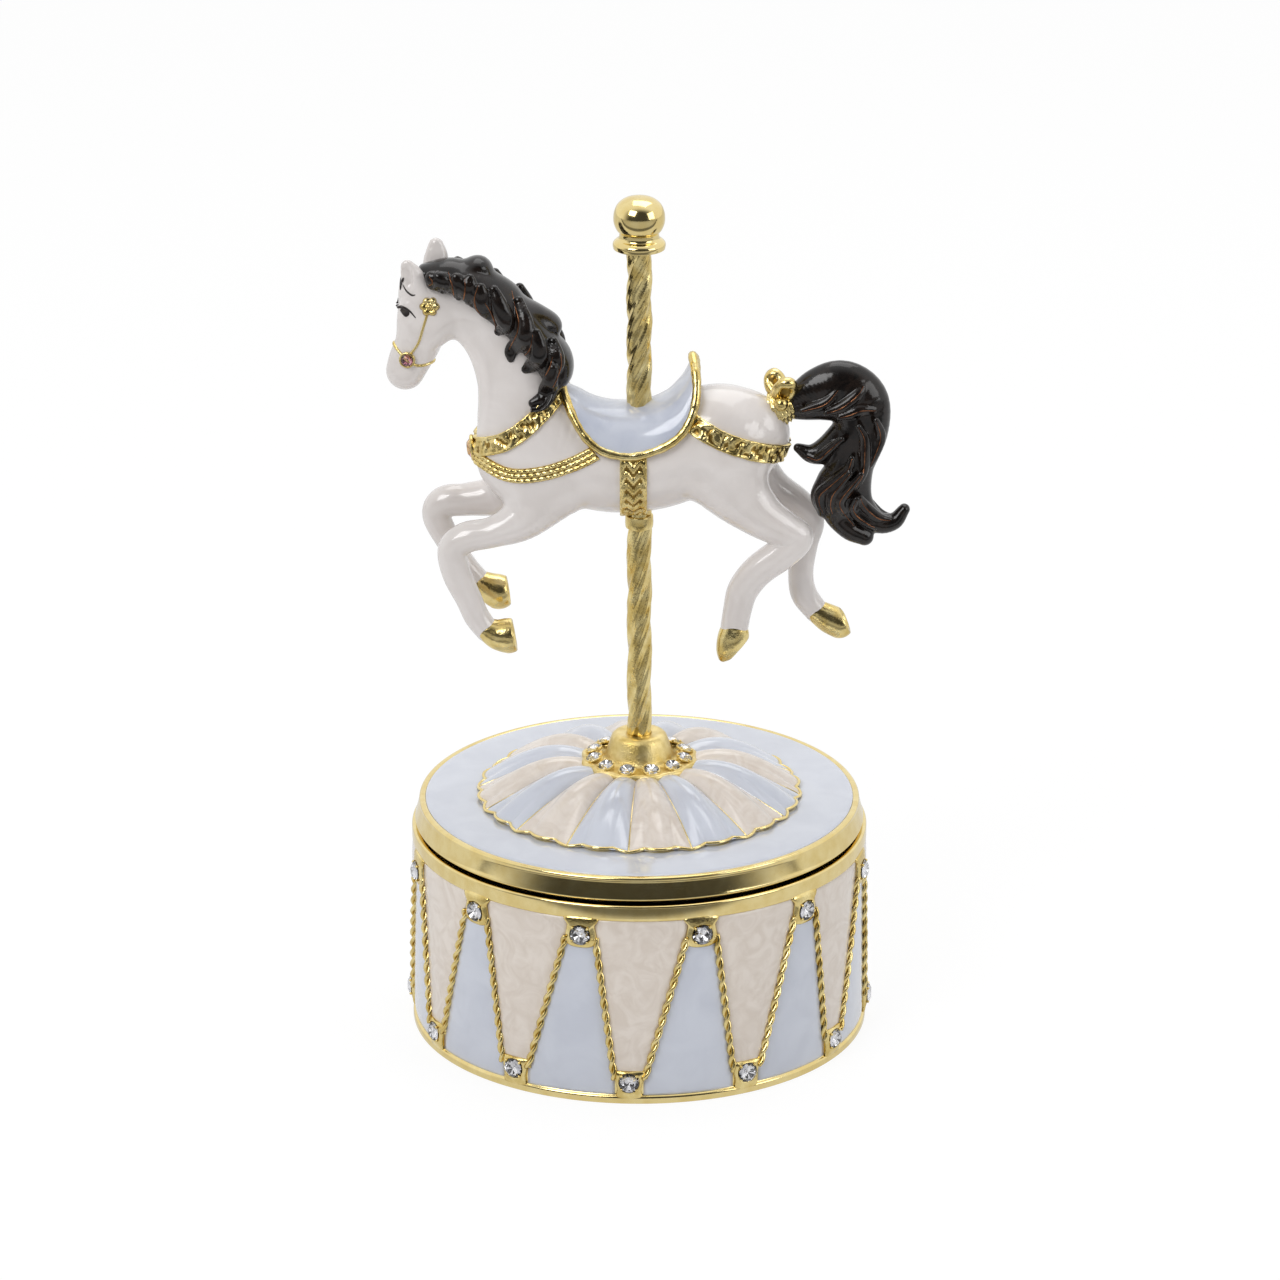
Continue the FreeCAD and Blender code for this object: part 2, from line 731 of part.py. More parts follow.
BOW_LOOPS = [stations(NEAR_LOOP), stations(FAR_LOOP)]


def section(x, z, depth, width, offset, tilt, sides):
    """The corners of a limb's oval section, square to the limb's run."""
    centre = Vector(x, offset, z + float(horse_z))
    swell = 1 / math.cos(math.pi / sides)
    across = Vector(-math.sin(tilt), 0, math.cos(tilt)) * depth * swell
    sideways = Vector(0, width * swell, 0)
    corners = []
    for i in range(sides):
        angle = 2 * math.pi * (i + 0.5) / sides
        corners.append(centre + across * math.cos(angle) + sideways * math.sin(angle))
    return corners


def sections(rows, half_width, sides, grow=0.0):
    """The sections of a limb; those of a grown one stand out by the same amount all round."""
    last = len(rows) - 1
    rings = []
    for i, (x, z, depth, width, offset) in enumerate(rows):
        back = Vector(x - rows[max(i - 1, 0)][0], 0, z - rows[max(i - 1, 0)][1])
        ahead = Vector(rows[min(i + 1, last)][0] - x, 0, rows[min(i + 1, last)][1] - z)
        run = Vector()
        for part in (back, ahead):
            if part.Length > 0:
                run += part.normalize()
        tilt = math.atan2(run.z, run.x)
        push = grow * ((i == last) - (i == 0))
        x += push * math.cos(tilt)
        z += push * math.sin(tilt)
        side = offset * float(S.leg_offset)
        rings.append(section(x, z, depth + grow, width * float(half_width) + grow, side, tilt, sides))
    return rings


def limb(rows, half_width, sides, grow=0.0):
    """A faceted form through the stations of a limb."""
    return faceted(sections(rows, half_width, sides, grow))


def band(line, width, reach):
    """A slab across the horse whose side view is a strip of the given width along a line."""
    upper = []
    lower = []
    for i, (x, z) in enumerate(line):
        a = line[max(i - 1, 0)]
        b = line[min(i + 1, len(line) - 1)]
        run = Vector(b[0] - a[0], 0, b[1] - a[1]).normalize()
        side = Vector(-run.z, 0, run.x) * (width / 2)
        point = Vector(x, 0, z + float(horse_z))
        upper.append(point + side)
        lower.append(point - side)
    return slab(upper + lower[::-1], reach)


def slab(points, reach):
    """A side-view outline drawn across the horse, as far as its reach on both sides."""
    points = [Vector(p.x, -reach, p.z) for p in points]
    face = Part.Face(Part.makePolygon(points + points[:1]))
    return face.extrude(Vector(0, 2 * reach, 0))


def side_view(points):
    """Side-view points of the horse as points of the frame."""
    return [Vector(x, 0, z + float(horse_z)) for x, z in points]


def pole_bore():
    """The hole that the pole passes through."""
    radius = float(S.pole_radius) + float(S.running_clearance)
    length = float(S.lower_pole_length) + float(S.upper_pole_length)
    return Part.makeCylinder(radius, length, Vector(0, 0, float(collar_top)))


# How many sides the sections of the trunk, of the neck and head, and of the rest have
TRUNK_SIDES = 10
NECK_SIDES = 10
LEG_SIDES = 8
HAIR_SIDES = 6


def build_horse():
    torso = limb(TORSO, S.horse_half_width, TRUNK_SIDES)
    neck = limb(NECK, S.neck_half_width, NECK_SIDES)
    head = limb(HEAD, S.head_half_width, NECK_SIDES)
    ears = [limb(ear, S.head_half_width, HAIR_SIDES) for ear in (NEAR_EAR, FAR_EAR)]
    legs = []
    hooves = []
    for leg, rest in zip(LEGS, HOOVES):
        rings = sections(leg + rest, S.leg_half_width, LEG_SIDES)
        legs.append(faceted(rings[: len(leg)]))
        hooves.append(faceted(rings[len(leg) - 1 :]))
    flesh = torso.fuse([neck, head] + legs + ears)
    node(carved("horse_body", flesh.cut(pole_bore())))
    node(carved("hooves", Part.Compound(hooves)))
    return flesh


def build_hair(flesh):
    mane = largest(limb(MANE, S.neck_half_width, LEG_SIDES).cut(flesh))
    node(carved("mane", mane))
    curl = limb(TAIL_CURL, S.leg_half_width, HAIR_SIDES)
    tail = largest(limb(TAIL, S.leg_half_width, LEG_SIDES).fuse(curl).cut(flesh))
    node(carved("tail", tail))
    knot = limb(BOW_KNOT, S.horse_half_width, LEG_SIDES)
    bow = knot.fuse([limb(loop, S.horse_half_width, HAIR_SIDES) for loop in BOW_LOOPS])
    node(carved("tail_bow", largest(bow.cut([flesh, tail]))))
    return mane


def largest(shape):
    """The biggest solid of a shape."""
    return max(shape.Solids, key=lambda solid: solid.Volume)


def build_harness(flesh, mane):
    thickness = float(S.strap_thickness)
    width = float(S.strap_width)
    reach = 2 * float(S.horse_half_width)
    cover = float(S.saddle_thickness)
    over = limb(TORSO, S.horse_half_width, TRUNK_SIDES, thickness)
    over_neck = limb(NECK, S.neck_half_width, NECK_SIDES, thickness)
    over_thighs = [limb(leg[:3], S.leg_half_width, LEG_SIDES, thickness) for leg in LEGS[2:]]
    saddle_over = limb(TORSO, S.horse_half_width, TRUNK_SIDES, cover)
    piping_over = limb(TORSO, S.horse_half_width, TRUNK_SIDES, cover + thickness)

    outline = side_view(SADDLE_OUTLINE)
    seat = slab(outline, reach)
    cantle = limb(CANTLE, S.horse_half_width, LEG_SIDES)
    saddle = saddle_over.common(seat).fuse(cantle).cut([flesh, pole_bore()])
    saddle = largest(saddle)
    node(carved("saddle", saddle))
    edge = band(SADDLE_OUTLINE[:9], float(S.piping_width), reach)
    piping = piping_over.common(edge).cut([flesh, saddle])
    node(carved("saddle_piping", strap_pieces(piping)))

    front = over.fuse(over_neck)
    collar = front.common(band(COLLAR_LINE, width, reach)).cut([flesh, saddle, piping, mane])
    breast = front.common(band(BREAST_LINE, width, reach)).cut([flesh, saddle, piping, collar])
    girth = over.common(band(GIRTH_LINE, float(S.girth_width), reach))
    girth = girth.cut([flesh, saddle, piping, pole_bore()])
    rear = over.fuse(over_thighs)
    breeching = rear.common(band(BREECHING_LINE, width * 1.2, reach)).cut([flesh, saddle, piping])
    node(carved("breast_collar", strap_pieces(collar)))
    node(carved("breast_strap", strap_pieces(breast)))
    node(carved("girth_strap", strap_pieces(girth)))
    node(carved("breeching_strap", strap_pieces(breeching)))
    build_bridle(flesh, reach, collar.fuse(breast))


def strap_pieces(shape):
    """The solids of a strap, without crumbs."""
    crumb = 0.5
    return Part.Compound([solid for solid in shape.Solids if solid.Volume > crumb])


def build_bridle(flesh, reach, chest_straps):
    thickness = float(S.strap_thickness) / 2
    width = float(S.cheek_strap_width)
    over = limb(HEAD, S.head_half_width, NECK_SIDES, thickness)
    straps = band(CHEEK_LINE, width, reach).fuse(band(NOSE_LINE, width, reach))
    bridle = over.common(straps).cut(flesh)
    gem_x, gem_z = NOSE_LINE[2]
    button_x, button_z = CHEEK_LINE[0]
    button_radius = float(S.rosette_button_radius)
    button = faceted([polygon(LEG_SIDES, button_radius, z) for z in (0.0, 2 * thickness)])
    buttons = []
    stones = []
    for side in (-1, 1):
        turn = 90 * -side
        seat_y = surface_y(flesh, button_x, button_z, side)
        buttons.append(sideways(button, button_x, button_z, seat_y, turn))
        stone = crystal(float(S.cheek_gem_radius), float(S.cheek_gem_radius) * 0.8)
        seat_y = surface_y(flesh, gem_x, gem_z, side) + side * thickness
        stones.append(sideways(stone, gem_x, gem_z, seat_y, turn))
    bridle = bridle.fuse(buttons).cut([flesh] + stones)
    node(carved("bridle", strap_pieces(bridle)))
    chest = crystal(float(S.chest_gem_radius), float(S.chest_gem_radius) * 0.7)
    chest.rotate(Vector(), Vector(0, 1, 0), -90)
    chest_x = TORSO[0][0] - float(S.strap_thickness)
    chest.translate(Vector(chest_x, 0, COLLAR_LINE[-1][1] + float(horse_z)))
    gems = [largest(stone.cut(flesh)) for stone in stones] + [largest(chest.cut(chest_straps))]
    node(carved("pink_crystals", Part.Compound(gems)))


def surface_y(flesh, x, z, side):
    """How far out the horse's skin lies at a point of its side view."""
    reach = 2 * float(S.horse_half_width)
    point = Vector(x, 0, z + float(horse_z))
    line = Part.makeLine(point, point + Vector(0, side * reach, 0))
    inside = flesh.common(line)
    return side * max(abs(v.Point.y) for v in inside.Vertexes)


def sideways(shape, x, z, y, turn):
    """Lay a shape that rises along Z on the horse's side."""
    shape = shape.rotated(Vector(), Vector(1, 0, 0), turn)
    shape.translate(Vector(x, y, z + float(horse_z)))
    return shape


# Movement


def case_plan(margin):
    """The movement case's plan with cut-off corners, larger all round by a margin."""
    x = S.case_length / 2 + margin
    y = S.case_width / 2 + margin
    corner = S.case_corner
    return [(x, corner - y), (x, y - corner), (x - corner, y), (corner - x, y), (-x, y - corner),
            (-x, corner - y), (corner - x, -y), (x - corner, -y)]


def build_movement():
    flange = padded("case_foot", case_plan(0), base_top, S.case_flange_height)
    wall_z = base_top + S.case_flange_height
    wall_height = case_height - S.case_flange_height
    housing = padded("case_housing", case_plan(-S.case_flange), wall_z, wall_height)
    draft = doc.getObject("case_housing_pad")
    bind(draft, "TaperAngle", -S.case_draft)
    arbor_bore = S.arbor_radius + S.running_clearance
    spindle_bore = S.spindle_radius + S.running_clearance
    below = rod("arbor_bearing", arbor_bore, bearing_depth, (0, 0, base_top))
    above = rod("spindle_bearing", spindle_bore, bearing_depth, (0, 0, case_top - bearing_depth))
    node(drilled("movement_case", fused("case_blank", flange, housing), below, above))

    spindle_z = case_top - bearing_depth + S.running_clearance
    node(rod("drive_spindle", S.spindle_radius, lid_z - spindle_z, (0, 0, spindle_z)))
    key_z = S.recess_depth - S.key_drop
    arbor_length = base_top + bearing_depth - S.running_clearance - key_z
    node(rod("winding_arbor", S.arbor_radius, arbor_length, (0, 0, key_z)))
    build_key(key_z)


def build_key(key_z):
    """A butterfly key: two pierced wings on a hub that is pressed on the arbor."""
    height = S.key_drop - S.side_gap
    half = S.key_thickness / 2
    wing_z = key_z + S.key_wing_radius
    wings = []
    eyes = []
    for i, side in enumerate((-1, 1)):
        spot = (-half, (S.key_span - S.key_wing_radius) * side, wing_z)
        wings.append(prism(f"key_wing_{i}", 12, S.key_wing_radius, S.key_thickness, spot, "x"))
        eyes.append(prism(f"key_eye_{i}", 8, S.key_wing_radius / 2, S.key_thickness, spot, "x"))
    web = S.key_wing_radius / 2
    reach = S.key_wing_radius
    blade = box("key_blade", (-half, -reach, wing_z - web), (half, reach, wing_z + web))
    hub = prism("key_hub", 12, S.key_hub_radius, height, (0, 0, key_z))
    bore = rod("key_bore", S.arbor_radius, height, (0, 0, key_z))
    node(drilled("winding_key", fused("key_blank", hub, blade, *wings), bore, *eyes))


def build():
    build_drum()
    build_wall_ornament()
    build_lid()
    build_rosette()
    build_collar_and_pole()
    flesh = build_horse()
    mane = build_hair(flesh)
    build_harness(flesh, mane)
    build_movement()
    doc.recompute()


def write_nodes():
    """Check every object of the document, then write each piece under its label."""
    for obj in doc.Objects:
        if "Invalid" in obj.State or "Error" in obj.State:
            raise RuntimeError(f"{obj.Label} failed: {obj.State}")
    for obj in NODES:
        if obj.Shape.isNull() or not obj.Shape.isValid() or not obj.Shape.Solids:
            raise RuntimeError(f"{obj.Label} has no valid solid")
    os.makedirs("parts", exist_ok=True)
    for obj in NODES:
        obj.Shape.exportStep(os.path.join("parts", obj.Label + ".step"))
    print(len(NODES), "pieces")


build()
write_nodes()
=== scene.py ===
import json
import math

import bpy
import numpy as np
import openvdb
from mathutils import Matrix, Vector

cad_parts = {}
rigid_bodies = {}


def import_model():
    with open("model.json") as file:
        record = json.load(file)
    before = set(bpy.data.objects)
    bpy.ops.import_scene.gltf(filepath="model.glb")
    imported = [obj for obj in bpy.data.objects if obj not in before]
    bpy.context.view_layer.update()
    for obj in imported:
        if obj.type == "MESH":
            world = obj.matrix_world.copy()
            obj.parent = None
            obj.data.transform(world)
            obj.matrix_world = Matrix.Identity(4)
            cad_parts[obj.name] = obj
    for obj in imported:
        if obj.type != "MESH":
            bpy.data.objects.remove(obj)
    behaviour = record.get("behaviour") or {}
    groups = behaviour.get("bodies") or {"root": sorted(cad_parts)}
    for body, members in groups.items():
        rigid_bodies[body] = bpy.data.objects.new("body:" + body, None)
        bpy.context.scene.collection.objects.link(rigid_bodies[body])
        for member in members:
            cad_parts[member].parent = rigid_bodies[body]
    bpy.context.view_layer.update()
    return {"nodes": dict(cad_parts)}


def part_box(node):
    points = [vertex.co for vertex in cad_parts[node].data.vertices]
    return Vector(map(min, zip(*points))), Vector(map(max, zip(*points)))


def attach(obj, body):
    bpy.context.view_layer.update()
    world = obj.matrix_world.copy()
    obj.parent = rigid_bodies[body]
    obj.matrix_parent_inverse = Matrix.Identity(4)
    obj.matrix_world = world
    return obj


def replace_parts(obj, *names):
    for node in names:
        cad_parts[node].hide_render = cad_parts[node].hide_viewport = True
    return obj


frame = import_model()

MM = 0.001
HORSE_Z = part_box("upper_pole")[0].z / MM
LID_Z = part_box("lid")[0].z / MM
LID_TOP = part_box("lid")[1].z / MM
FLANGE_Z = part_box("pole_collar")[0].z / MM
COLLAR_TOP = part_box("pole_collar")[1].z / MM
FINIAL_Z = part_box("finial")[0].z / MM
WALL_RADIUS = 39.5


# Materials


def linear(red, green, blue):
    """A colour written as 0 to 255 display values."""
    values = [v / 255 for v in (red, green, blue)]
    return tuple(v / 12.92 if v <= 0.04045 else ((v + 0.055) / 1.055) ** 2.4 for v in values) + (1.0,)


class Finish:
    """A node material: a principled shader whose colour, roughness and bump come from noise."""

    def __init__(self, name, colour, roughness, **settings):
        self.material = bpy.data.materials.new(name)
        self.material.use_nodes = True
        self.nodes = self.material.node_tree.nodes
        self.links = self.material.node_tree.links
        self.shader = self.nodes["Principled BSDF"]
        self.place = self.nodes.new("ShaderNodeTexCoord").outputs["Object"]
        self.shader.inputs["Base Color"].default_value = colour
        self.shader.inputs["Roughness"].default_value = roughness
        for socket, value in settings.items():
            self.shader.inputs[socket.replace("_", " ")].default_value = value
        self.normal = None

    def noise(self, size, detail=3.0, distortion=0.0, stretch=None):
        """Noise with features of a size in mm."""
        node = self.nodes.new("ShaderNodeTexNoise")
        node.inputs["Scale"].default_value = 1 / (size * MM)
        node.inputs["Detail"].default_value = detail
        node.inputs["Distortion"].default_value = distortion
        source = self.place
        if stretch:
            mapping = self.nodes.new("ShaderNodeMapping")
            mapping.inputs["Scale"].default_value = stretch
            self.links.new(source, mapping.inputs["Vector"])
            source = mapping.outputs["Vector"]
        self.links.new(source, node.inputs["Vector"])
        return node.outputs["Fac"]

    def tint(self, factor, dark, light, low=0.35, high=0.65):
        """Base colour between two colours by a factor."""
        ramp = self.nodes.new("ShaderNodeValToRGB")
        ramp.color_ramp.elements[0].position = low
        ramp.color_ramp.elements[1].position = high
        ramp.color_ramp.elements[0].color = dark
        ramp.color_ramp.elements[1].color = light
        self.links.new(factor, ramp.inputs["Fac"])
        self.links.new(ramp.outputs["Color"], self.shader.inputs["Base Color"])
        return self

    def polish(self, factor, low, high):
        """Roughness between two values by a factor."""
        span = self.nodes.new("ShaderNodeMapRange")
        span.inputs["To Min"].default_value = low
        span.inputs["To Max"].default_value = high
        self.links.new(factor, span.inputs["Value"])
        self.links.new(span.outputs["Result"], self.shader.inputs["Roughness"])
        return self

    def grain(self, factor, height):
        """Bump of a height in mm."""
        bump = self.nodes.new("ShaderNodeBump")
        bump.inputs["Strength"].default_value = 1.0
        bump.inputs["Distance"].default_value = height * MM
        self.links.new(factor, bump.inputs["Height"])
        if self.normal:
            self.links.new(self.normal, bump.inputs["Normal"])
        self.normal = bump.outputs["Normal"]
        self.links.new(self.normal, self.shader.inputs["Normal"])
        return self


def gold(name, dark, light, low, high, grain_size, grain_height):
    """Pale yellow gold plate: colour and polish vary, with a grain of a size and height in mm."""
    finish = Finish(name, light, low, Metallic=1.0)
    finish.tint(finish.noise(2.5), dark, light)
    finish.polish(finish.noise(1.2), low, high)
    return finish.grain(finish.noise(grain_size, 4.0), grain_height).material


def enamel(name, dark, light, size, distortion=0.6, wave=0.02, coat=0.6, level=0.5, speckle=None):
    """Fired enamel: a glossy coat over a colour that clouds, with a fine speckle of (size, height)."""
    finish = Finish(name, light, 0.2, Coat_Weight=coat, Coat_Roughness=0.06, Specular_IOR_Level=level)
    finish.tint(finish.noise(size, 3.0, distortion), dark, light)
    finish.polish(finish.noise(0.8), 0.14, 0.26)
    finish.grain(finish.noise(5.0, 1.0), wave)
    if speckle:
        finish.grain(finish.noise(speckle[0], 2.0), speckle[1])
    return finish.material


POLISHED = gold("polished_gold", linear(229, 206, 140), linear(237, 218, 158), 0.08, 0.15, 0.5, 0.002)
CAST = gold("cast_gold", linear(213, 187, 114), linear(242, 223, 160), 0.12, 0.28, 0.4, 0.04)
SANDY = gold("sandy_gold", linear(211, 185, 112), linear(240, 219, 156), 0.24, 0.4, 0.22, 0.08)
# Darker gold laid on the recessed faces of the bands and inside the bow's loops: painted shade, not a tone of
# the metal.
SHADE_GOLD = gold("painted_shade_gold", linear(120, 94, 44), linear(178, 146, 76), 0.24, 0.4, 0.4, 0.04)
WHITE = enamel("white_enamel", linear(226, 219, 215), linear(235, 229, 226), 9.0, coat=0.8)
BLUE = enamel("blue_enamel", linear(206, 211, 224), linear(214, 219, 231), 7.0, 0.6, 0.05, 1.0)
SADDLE = enamel("saddle_enamel", linear(194, 200, 216), linear(210, 215, 228), 5.0)
PEARL = enamel(
    "pearl_enamel", linear(227, 215, 203), linear(238, 228, 218), 4.5, 2.2, 0.03, speckle=(0.25, 0.003)
)
BLACK = enamel("black_enamel", linear(14, 11, 10), linear(32, 24, 20), 2.2, 1.5, 0.03, 0.35, 0.3)


def glass(name, colour):
    """Cut crystal, faintly clouded inside."""
    finish = Finish(name, colour, 0.02, Transmission_Weight=1.0, IOR=1.6)
    return finish.polish(finish.noise(0.5), 0.0, 0.03).material


def clouded(name, roughness, size, dark, light, grain=None, **settings):
    """A finish whose colour clouds at a size in mm, with a grain of (size, height) or none."""
    finish = Finish(name, light, roughness, **settings)
    finish.tint(finish.noise(size), dark, light)
    if grain:
        finish.grain(finish.noise(grain[0]), grain[1])
    return finish.material


def foil(name, dark, light):
    """The mirrored back of a rhinestone."""
    return clouded(name, 0.06, 0.5, dark, light, Metallic=1.0)


CRYSTAL = glass("clear_crystal", (1.0, 1.0, 1.0, 1.0))
PINK = glass("pink_crystal", linear(250, 226, 233))
SILVER = foil("silver_foil", linear(196, 196, 200), linear(250, 250, 252))
ROSE_FOIL = foil("rose_foil", linear(222, 168, 184), linear(250, 214, 224))


def plain_metal(name, dark, light, low, high):
    """Turned or pressed metal with fine drawn lines."""
    finish = Finish(name, light, 0.3, Metallic=1.0)
    finish.tint(finish.noise(3.0), dark, light)
    finish.polish(finish.noise(1.0), low, high)
    return finish.grain(finish.noise(0.6, 2.0, 0.0, (1.0, 1.0, 0.1)), 0.01).material


STEEL = plain_metal("steel", linear(150, 150, 152), linear(196, 196, 198), 0.2, 0.36)
BASE_METAL = plain_metal("base_metal", linear(180, 154, 100), linear(200, 174, 116), 0.3, 0.46)
COPPER = clouded("worn_copper", 0.3, 1.4, linear(72, 44, 32), linear(158, 108, 76), (0.3, 0.02), Metallic=1.0)
PAINT = clouded("dark_paint", 0.35, 0.6, linear(26, 20, 19), linear(52, 40, 37))
PLASTIC = clouded("case_plastic", 0.45, 4.0, linear(24, 24, 26), linear(44, 44, 47), (0.4, 0.03))


# Meshes, in mm


def piece(name, points, faces, body, slot, *materials, ids=None, sharp=None):
    """A mesh that rides on a body; edges sharper than an angle in degrees stay sharp."""
    mesh = bpy.data.meshes.new(name)
    mesh.from_pydata((np.asarray(points, float) * MM).tolist(), [], [tuple(map(int, f)) for f in faces])
    for material in materials:
        mesh.materials.append(material)
    if ids is not None:
        mesh.polygons.foreach_set("material_index", np.asarray(ids, np.int32))
    mesh.shade_smooth()
    if sharp is not None:
        mesh.set_sharp_from_angle(angle=math.radians(sharp))
    mesh.update()
    obj = bpy.data.objects.new(name, mesh)
    bpy.context.scene.collection.objects.link(obj)
    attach(obj, body)
    return obj


class Stock:
    """Points and faces gathered for one piece."""

    def __init__(self):
        self.points = []
        self.faces = []
        self.ids = []
        self.count = 0

    def add(self, form, material=0):
        points, faces = form
        self.points.append(np.asarray(points, float))
        self.faces += [tuple(int(i) + self.count for i in face) for face in faces]
        self.ids += [material] * len(faces)
        self.count += len(points)
        return self

    def piece(self, name, body, slot, *materials, sharp=None):
        points = np.vstack(self.points)
        return piece(name, points, self.faces, body, slot, *materials, ids=self.ids, sharp=sharp)


def quads(rows, cols, wrap_rows=False, wrap_cols=False):
    """Faces over a grid of points."""
    i, j = np.meshgrid(
        np.arange(rows if wrap_rows else rows - 1),
        np.arange(cols if wrap_cols else cols - 1),
        indexing="ij",
    )
    k, m = (i + 1) % rows, (j + 1) % cols
    return np.stack([i * cols + j, i * cols + m, k * cols + m, k * cols + j], -1).reshape(-1, 4)


def capped(rows, cols, closed=False):
    """Faces of a skin over rings of points: a loop of rings, or a run of them with shut ends."""
    faces = [tuple(f) for f in quads(rows, cols, closed, True)]
    if not closed:
        faces.append(tuple(range(cols))[::-1])
        faces.append(tuple(range((rows - 1) * cols, rows * cols)))
    return faces


def round_angles(count):
    """Angles round a circle, the last one short of the first."""
    return np.linspace(0, 2 * math.pi, count, endpoint=False)


def curve(points, steps=8, closed=False):
    """A smooth line through points of any number of columns."""
    p = np.asarray(points, float)
    if closed:
        p = np.vstack([p, p[:1]])
        ends = np.vstack([p[-2:-1], p, p[1:2]])
    else:
        ends = np.vstack([2 * p[0] - p[1], p, 2 * p[-1] - p[-2]])
    t = np.linspace(0, 1, steps, endpoint=False)[:, None]
    spans = []
    for a, b, c, d in zip(ends, ends[1:], ends[2:], ends[3:]):
        bend = (2 * a - 5 * b + 4 * c - d) * t**2 + (3 * b - a - 3 * c + d) * t**3
        spans.append(0.5 * (2 * b + (c - a) * t + bend))
    if not closed:
        spans.append(p[-1:])
    return np.vstack(spans)


def turned(profile, steps=160):
    """A closed outline of (radius, height) turned about Z."""
    profile = np.asarray(profile, float)
    angle = round_angles(steps)
    points = np.empty((len(profile), steps, 3))
    points[..., 0] = profile[:, :1] * np.cos(angle)
    points[..., 1] = profile[:, :1] * np.sin(angle)
    points[..., 2] = profile[:, 1:]
    return points.reshape(-1, 3), quads(len(profile), steps, True, True)


def softened(corners, radius):
    """A closed outline whose corners are rounded by about a radius."""
    c = np.asarray(corners, float)
    out = []
    for i, corner in enumerate(c):
        legs = []
        for other in (c[i - 1], c[(i + 1) % len(c)]):
            run = other - corner
            length = np.linalg.norm(run)
            legs.append(corner + run * (min(radius, 0.45 * length) / length))
        for t in np.linspace(0, 1, 6):
            out.append(legs[0] * (1 - t) ** 2 + corner * 2 * t * (1 - t) + legs[1] * t**2)
    return np.array(out)


FIRST_SIDE = (0.31, 0.87, 0.39)


def tube(path, radius, sides=10, closed=False):
    """A round bar along a path; its first ring starts from a direction that no path follows."""
    path = np.asarray(path, float)
    count = len(path)
    radius = np.broadcast_to(np.asarray(radius, float), (count,))
    run = np.roll(path, -1, 0) - np.roll(path, 1, 0) if closed else np.gradient(path, axis=0)
    run /= np.linalg.norm(run, axis=1, keepdims=True) + 1e-12
    side = np.zeros_like(path)
    lead = np.array(FIRST_SIDE)
    for i in range(count):
        lead = lead - run[i] * lead.dot(run[i])
        lead = lead / (np.linalg.norm(lead) + 1e-12)
        side[i] = lead
    other = np.cross(run, side)
    angle = round_angles(sides)
    ring = side[:, None] * np.cos(angle)[:, None] + other[:, None] * np.sin(angle)[:, None]
    points = (path[:, None] + ring * radius[:, None, None]).reshape(-1, 3)
    return points, capped(count, sides, closed)


def hoop(radius, height, thick, steps=24):
    """A ring of round wire about Z."""
    a = round_angles(steps)
    return tube(np.stack([radius * np.cos(a), radius * np.sin(a), height + 0 * a], -1), thick, 8, True)


def slab(top, under, closed=False):
    """A closed skin from a grid of points and the grid below it."""
    loop = np.concatenate([top, under[:, ::-1]], 1)
    rows, cols = loop.shape[:2]
    faces = capped(rows, cols, closed)
    points = loop.reshape(-1, 3)
    corners = points[np.array([face[:3] for face in faces[: (rows - 1) * cols]])] - points.mean(0)
    if np.einsum("ij,ij->", corners[:, 0], np.cross(corners[:, 1], corners[:, 2])) < 0:
        faces = [face[::-1] for face in faces]
    return points, faces


def moved(form, turn, at):
    """A form turned or stretched by a 3x3 matrix, then moved."""
    points, faces = form
    return np.asarray(points) @ np.asarray(turn, float).T + np.asarray(at, float), faces


def shifted(form, at):
    """A form moved and not turned."""
    points, faces = form
    return np.asarray(points) + np.asarray(at, float), faces


def facing(outward):
    """A rotation that takes Z to a direction."""
    z = np.asarray(outward, float)
    z = z / np.linalg.norm(z)
    x = np.cross((0, 0, 1.0), z)
    if np.linalg.norm(x) < 1e-6:
        x = np.array([1.0, 0, 0])
    x = x / np.linalg.norm(x)
    return np.stack([x, np.cross(z, x), z], 1)


def round_wall(degrees):
    """Outward direction on the drum: the angle runs from the front (-Y) towards +X."""
    a = math.radians(degrees)
    return np.array([math.sin(a), -math.cos(a), 0.0])


POLE_CAP = 0.08


def ball(radius, sides=10, rings=6):
    """A bead about the origin, with a small flat at each pole."""
    polar = np.linspace(POLE_CAP, math.pi - POLE_CAP, rings)
    profile = np.stack([np.sin(polar), -np.cos(polar)], 1) * radius
    points, _ = turned(profile, sides)
    return points, capped(rings, sides)


def stone(radius, crown, depth):
    """A round cut stone, its girdle on z = 0: crown facets to a table, and the pavilion below."""
    sides = 8
    girdle, star, table = (2 * sides, 0.0, 1.0, 0.0), (sides, 0.5, 0.8, 0.55), (sides, 0.0, 0.56, 1.0)
    points = []
    for count, offset, share, height in (girdle, star, table):
        for a in (np.arange(count) + offset) * 2 * math.pi / count:
            points.append((share * radius * math.cos(a), share * radius * math.sin(a), height * crown))
    points.append((0, 0, -depth))
    g, s, t, tip = 0, 2 * sides, 3 * sides, 4 * sides
    crown_faces = [tuple(range(t, t + sides))]
    back_faces = []
    for i in range(sides):
        j = (i + 1) % sides
        a, b, c = g + 2 * i, g + 2 * i + 1, g + (2 * i + 2) % (2 * sides)
        crown_faces += [(a, b, s + i), (b, c, s + i), (t + i, a, s + i), (s + i, c, t + j)]
        crown_faces.append((t + i, s + i, t + j))
        back_faces += [(b, a, tip), (c, b, tip)]
    return np.array(points), crown_faces, back_faces


# Clay: forms pressed together in a field of distances


FAR = 9.0


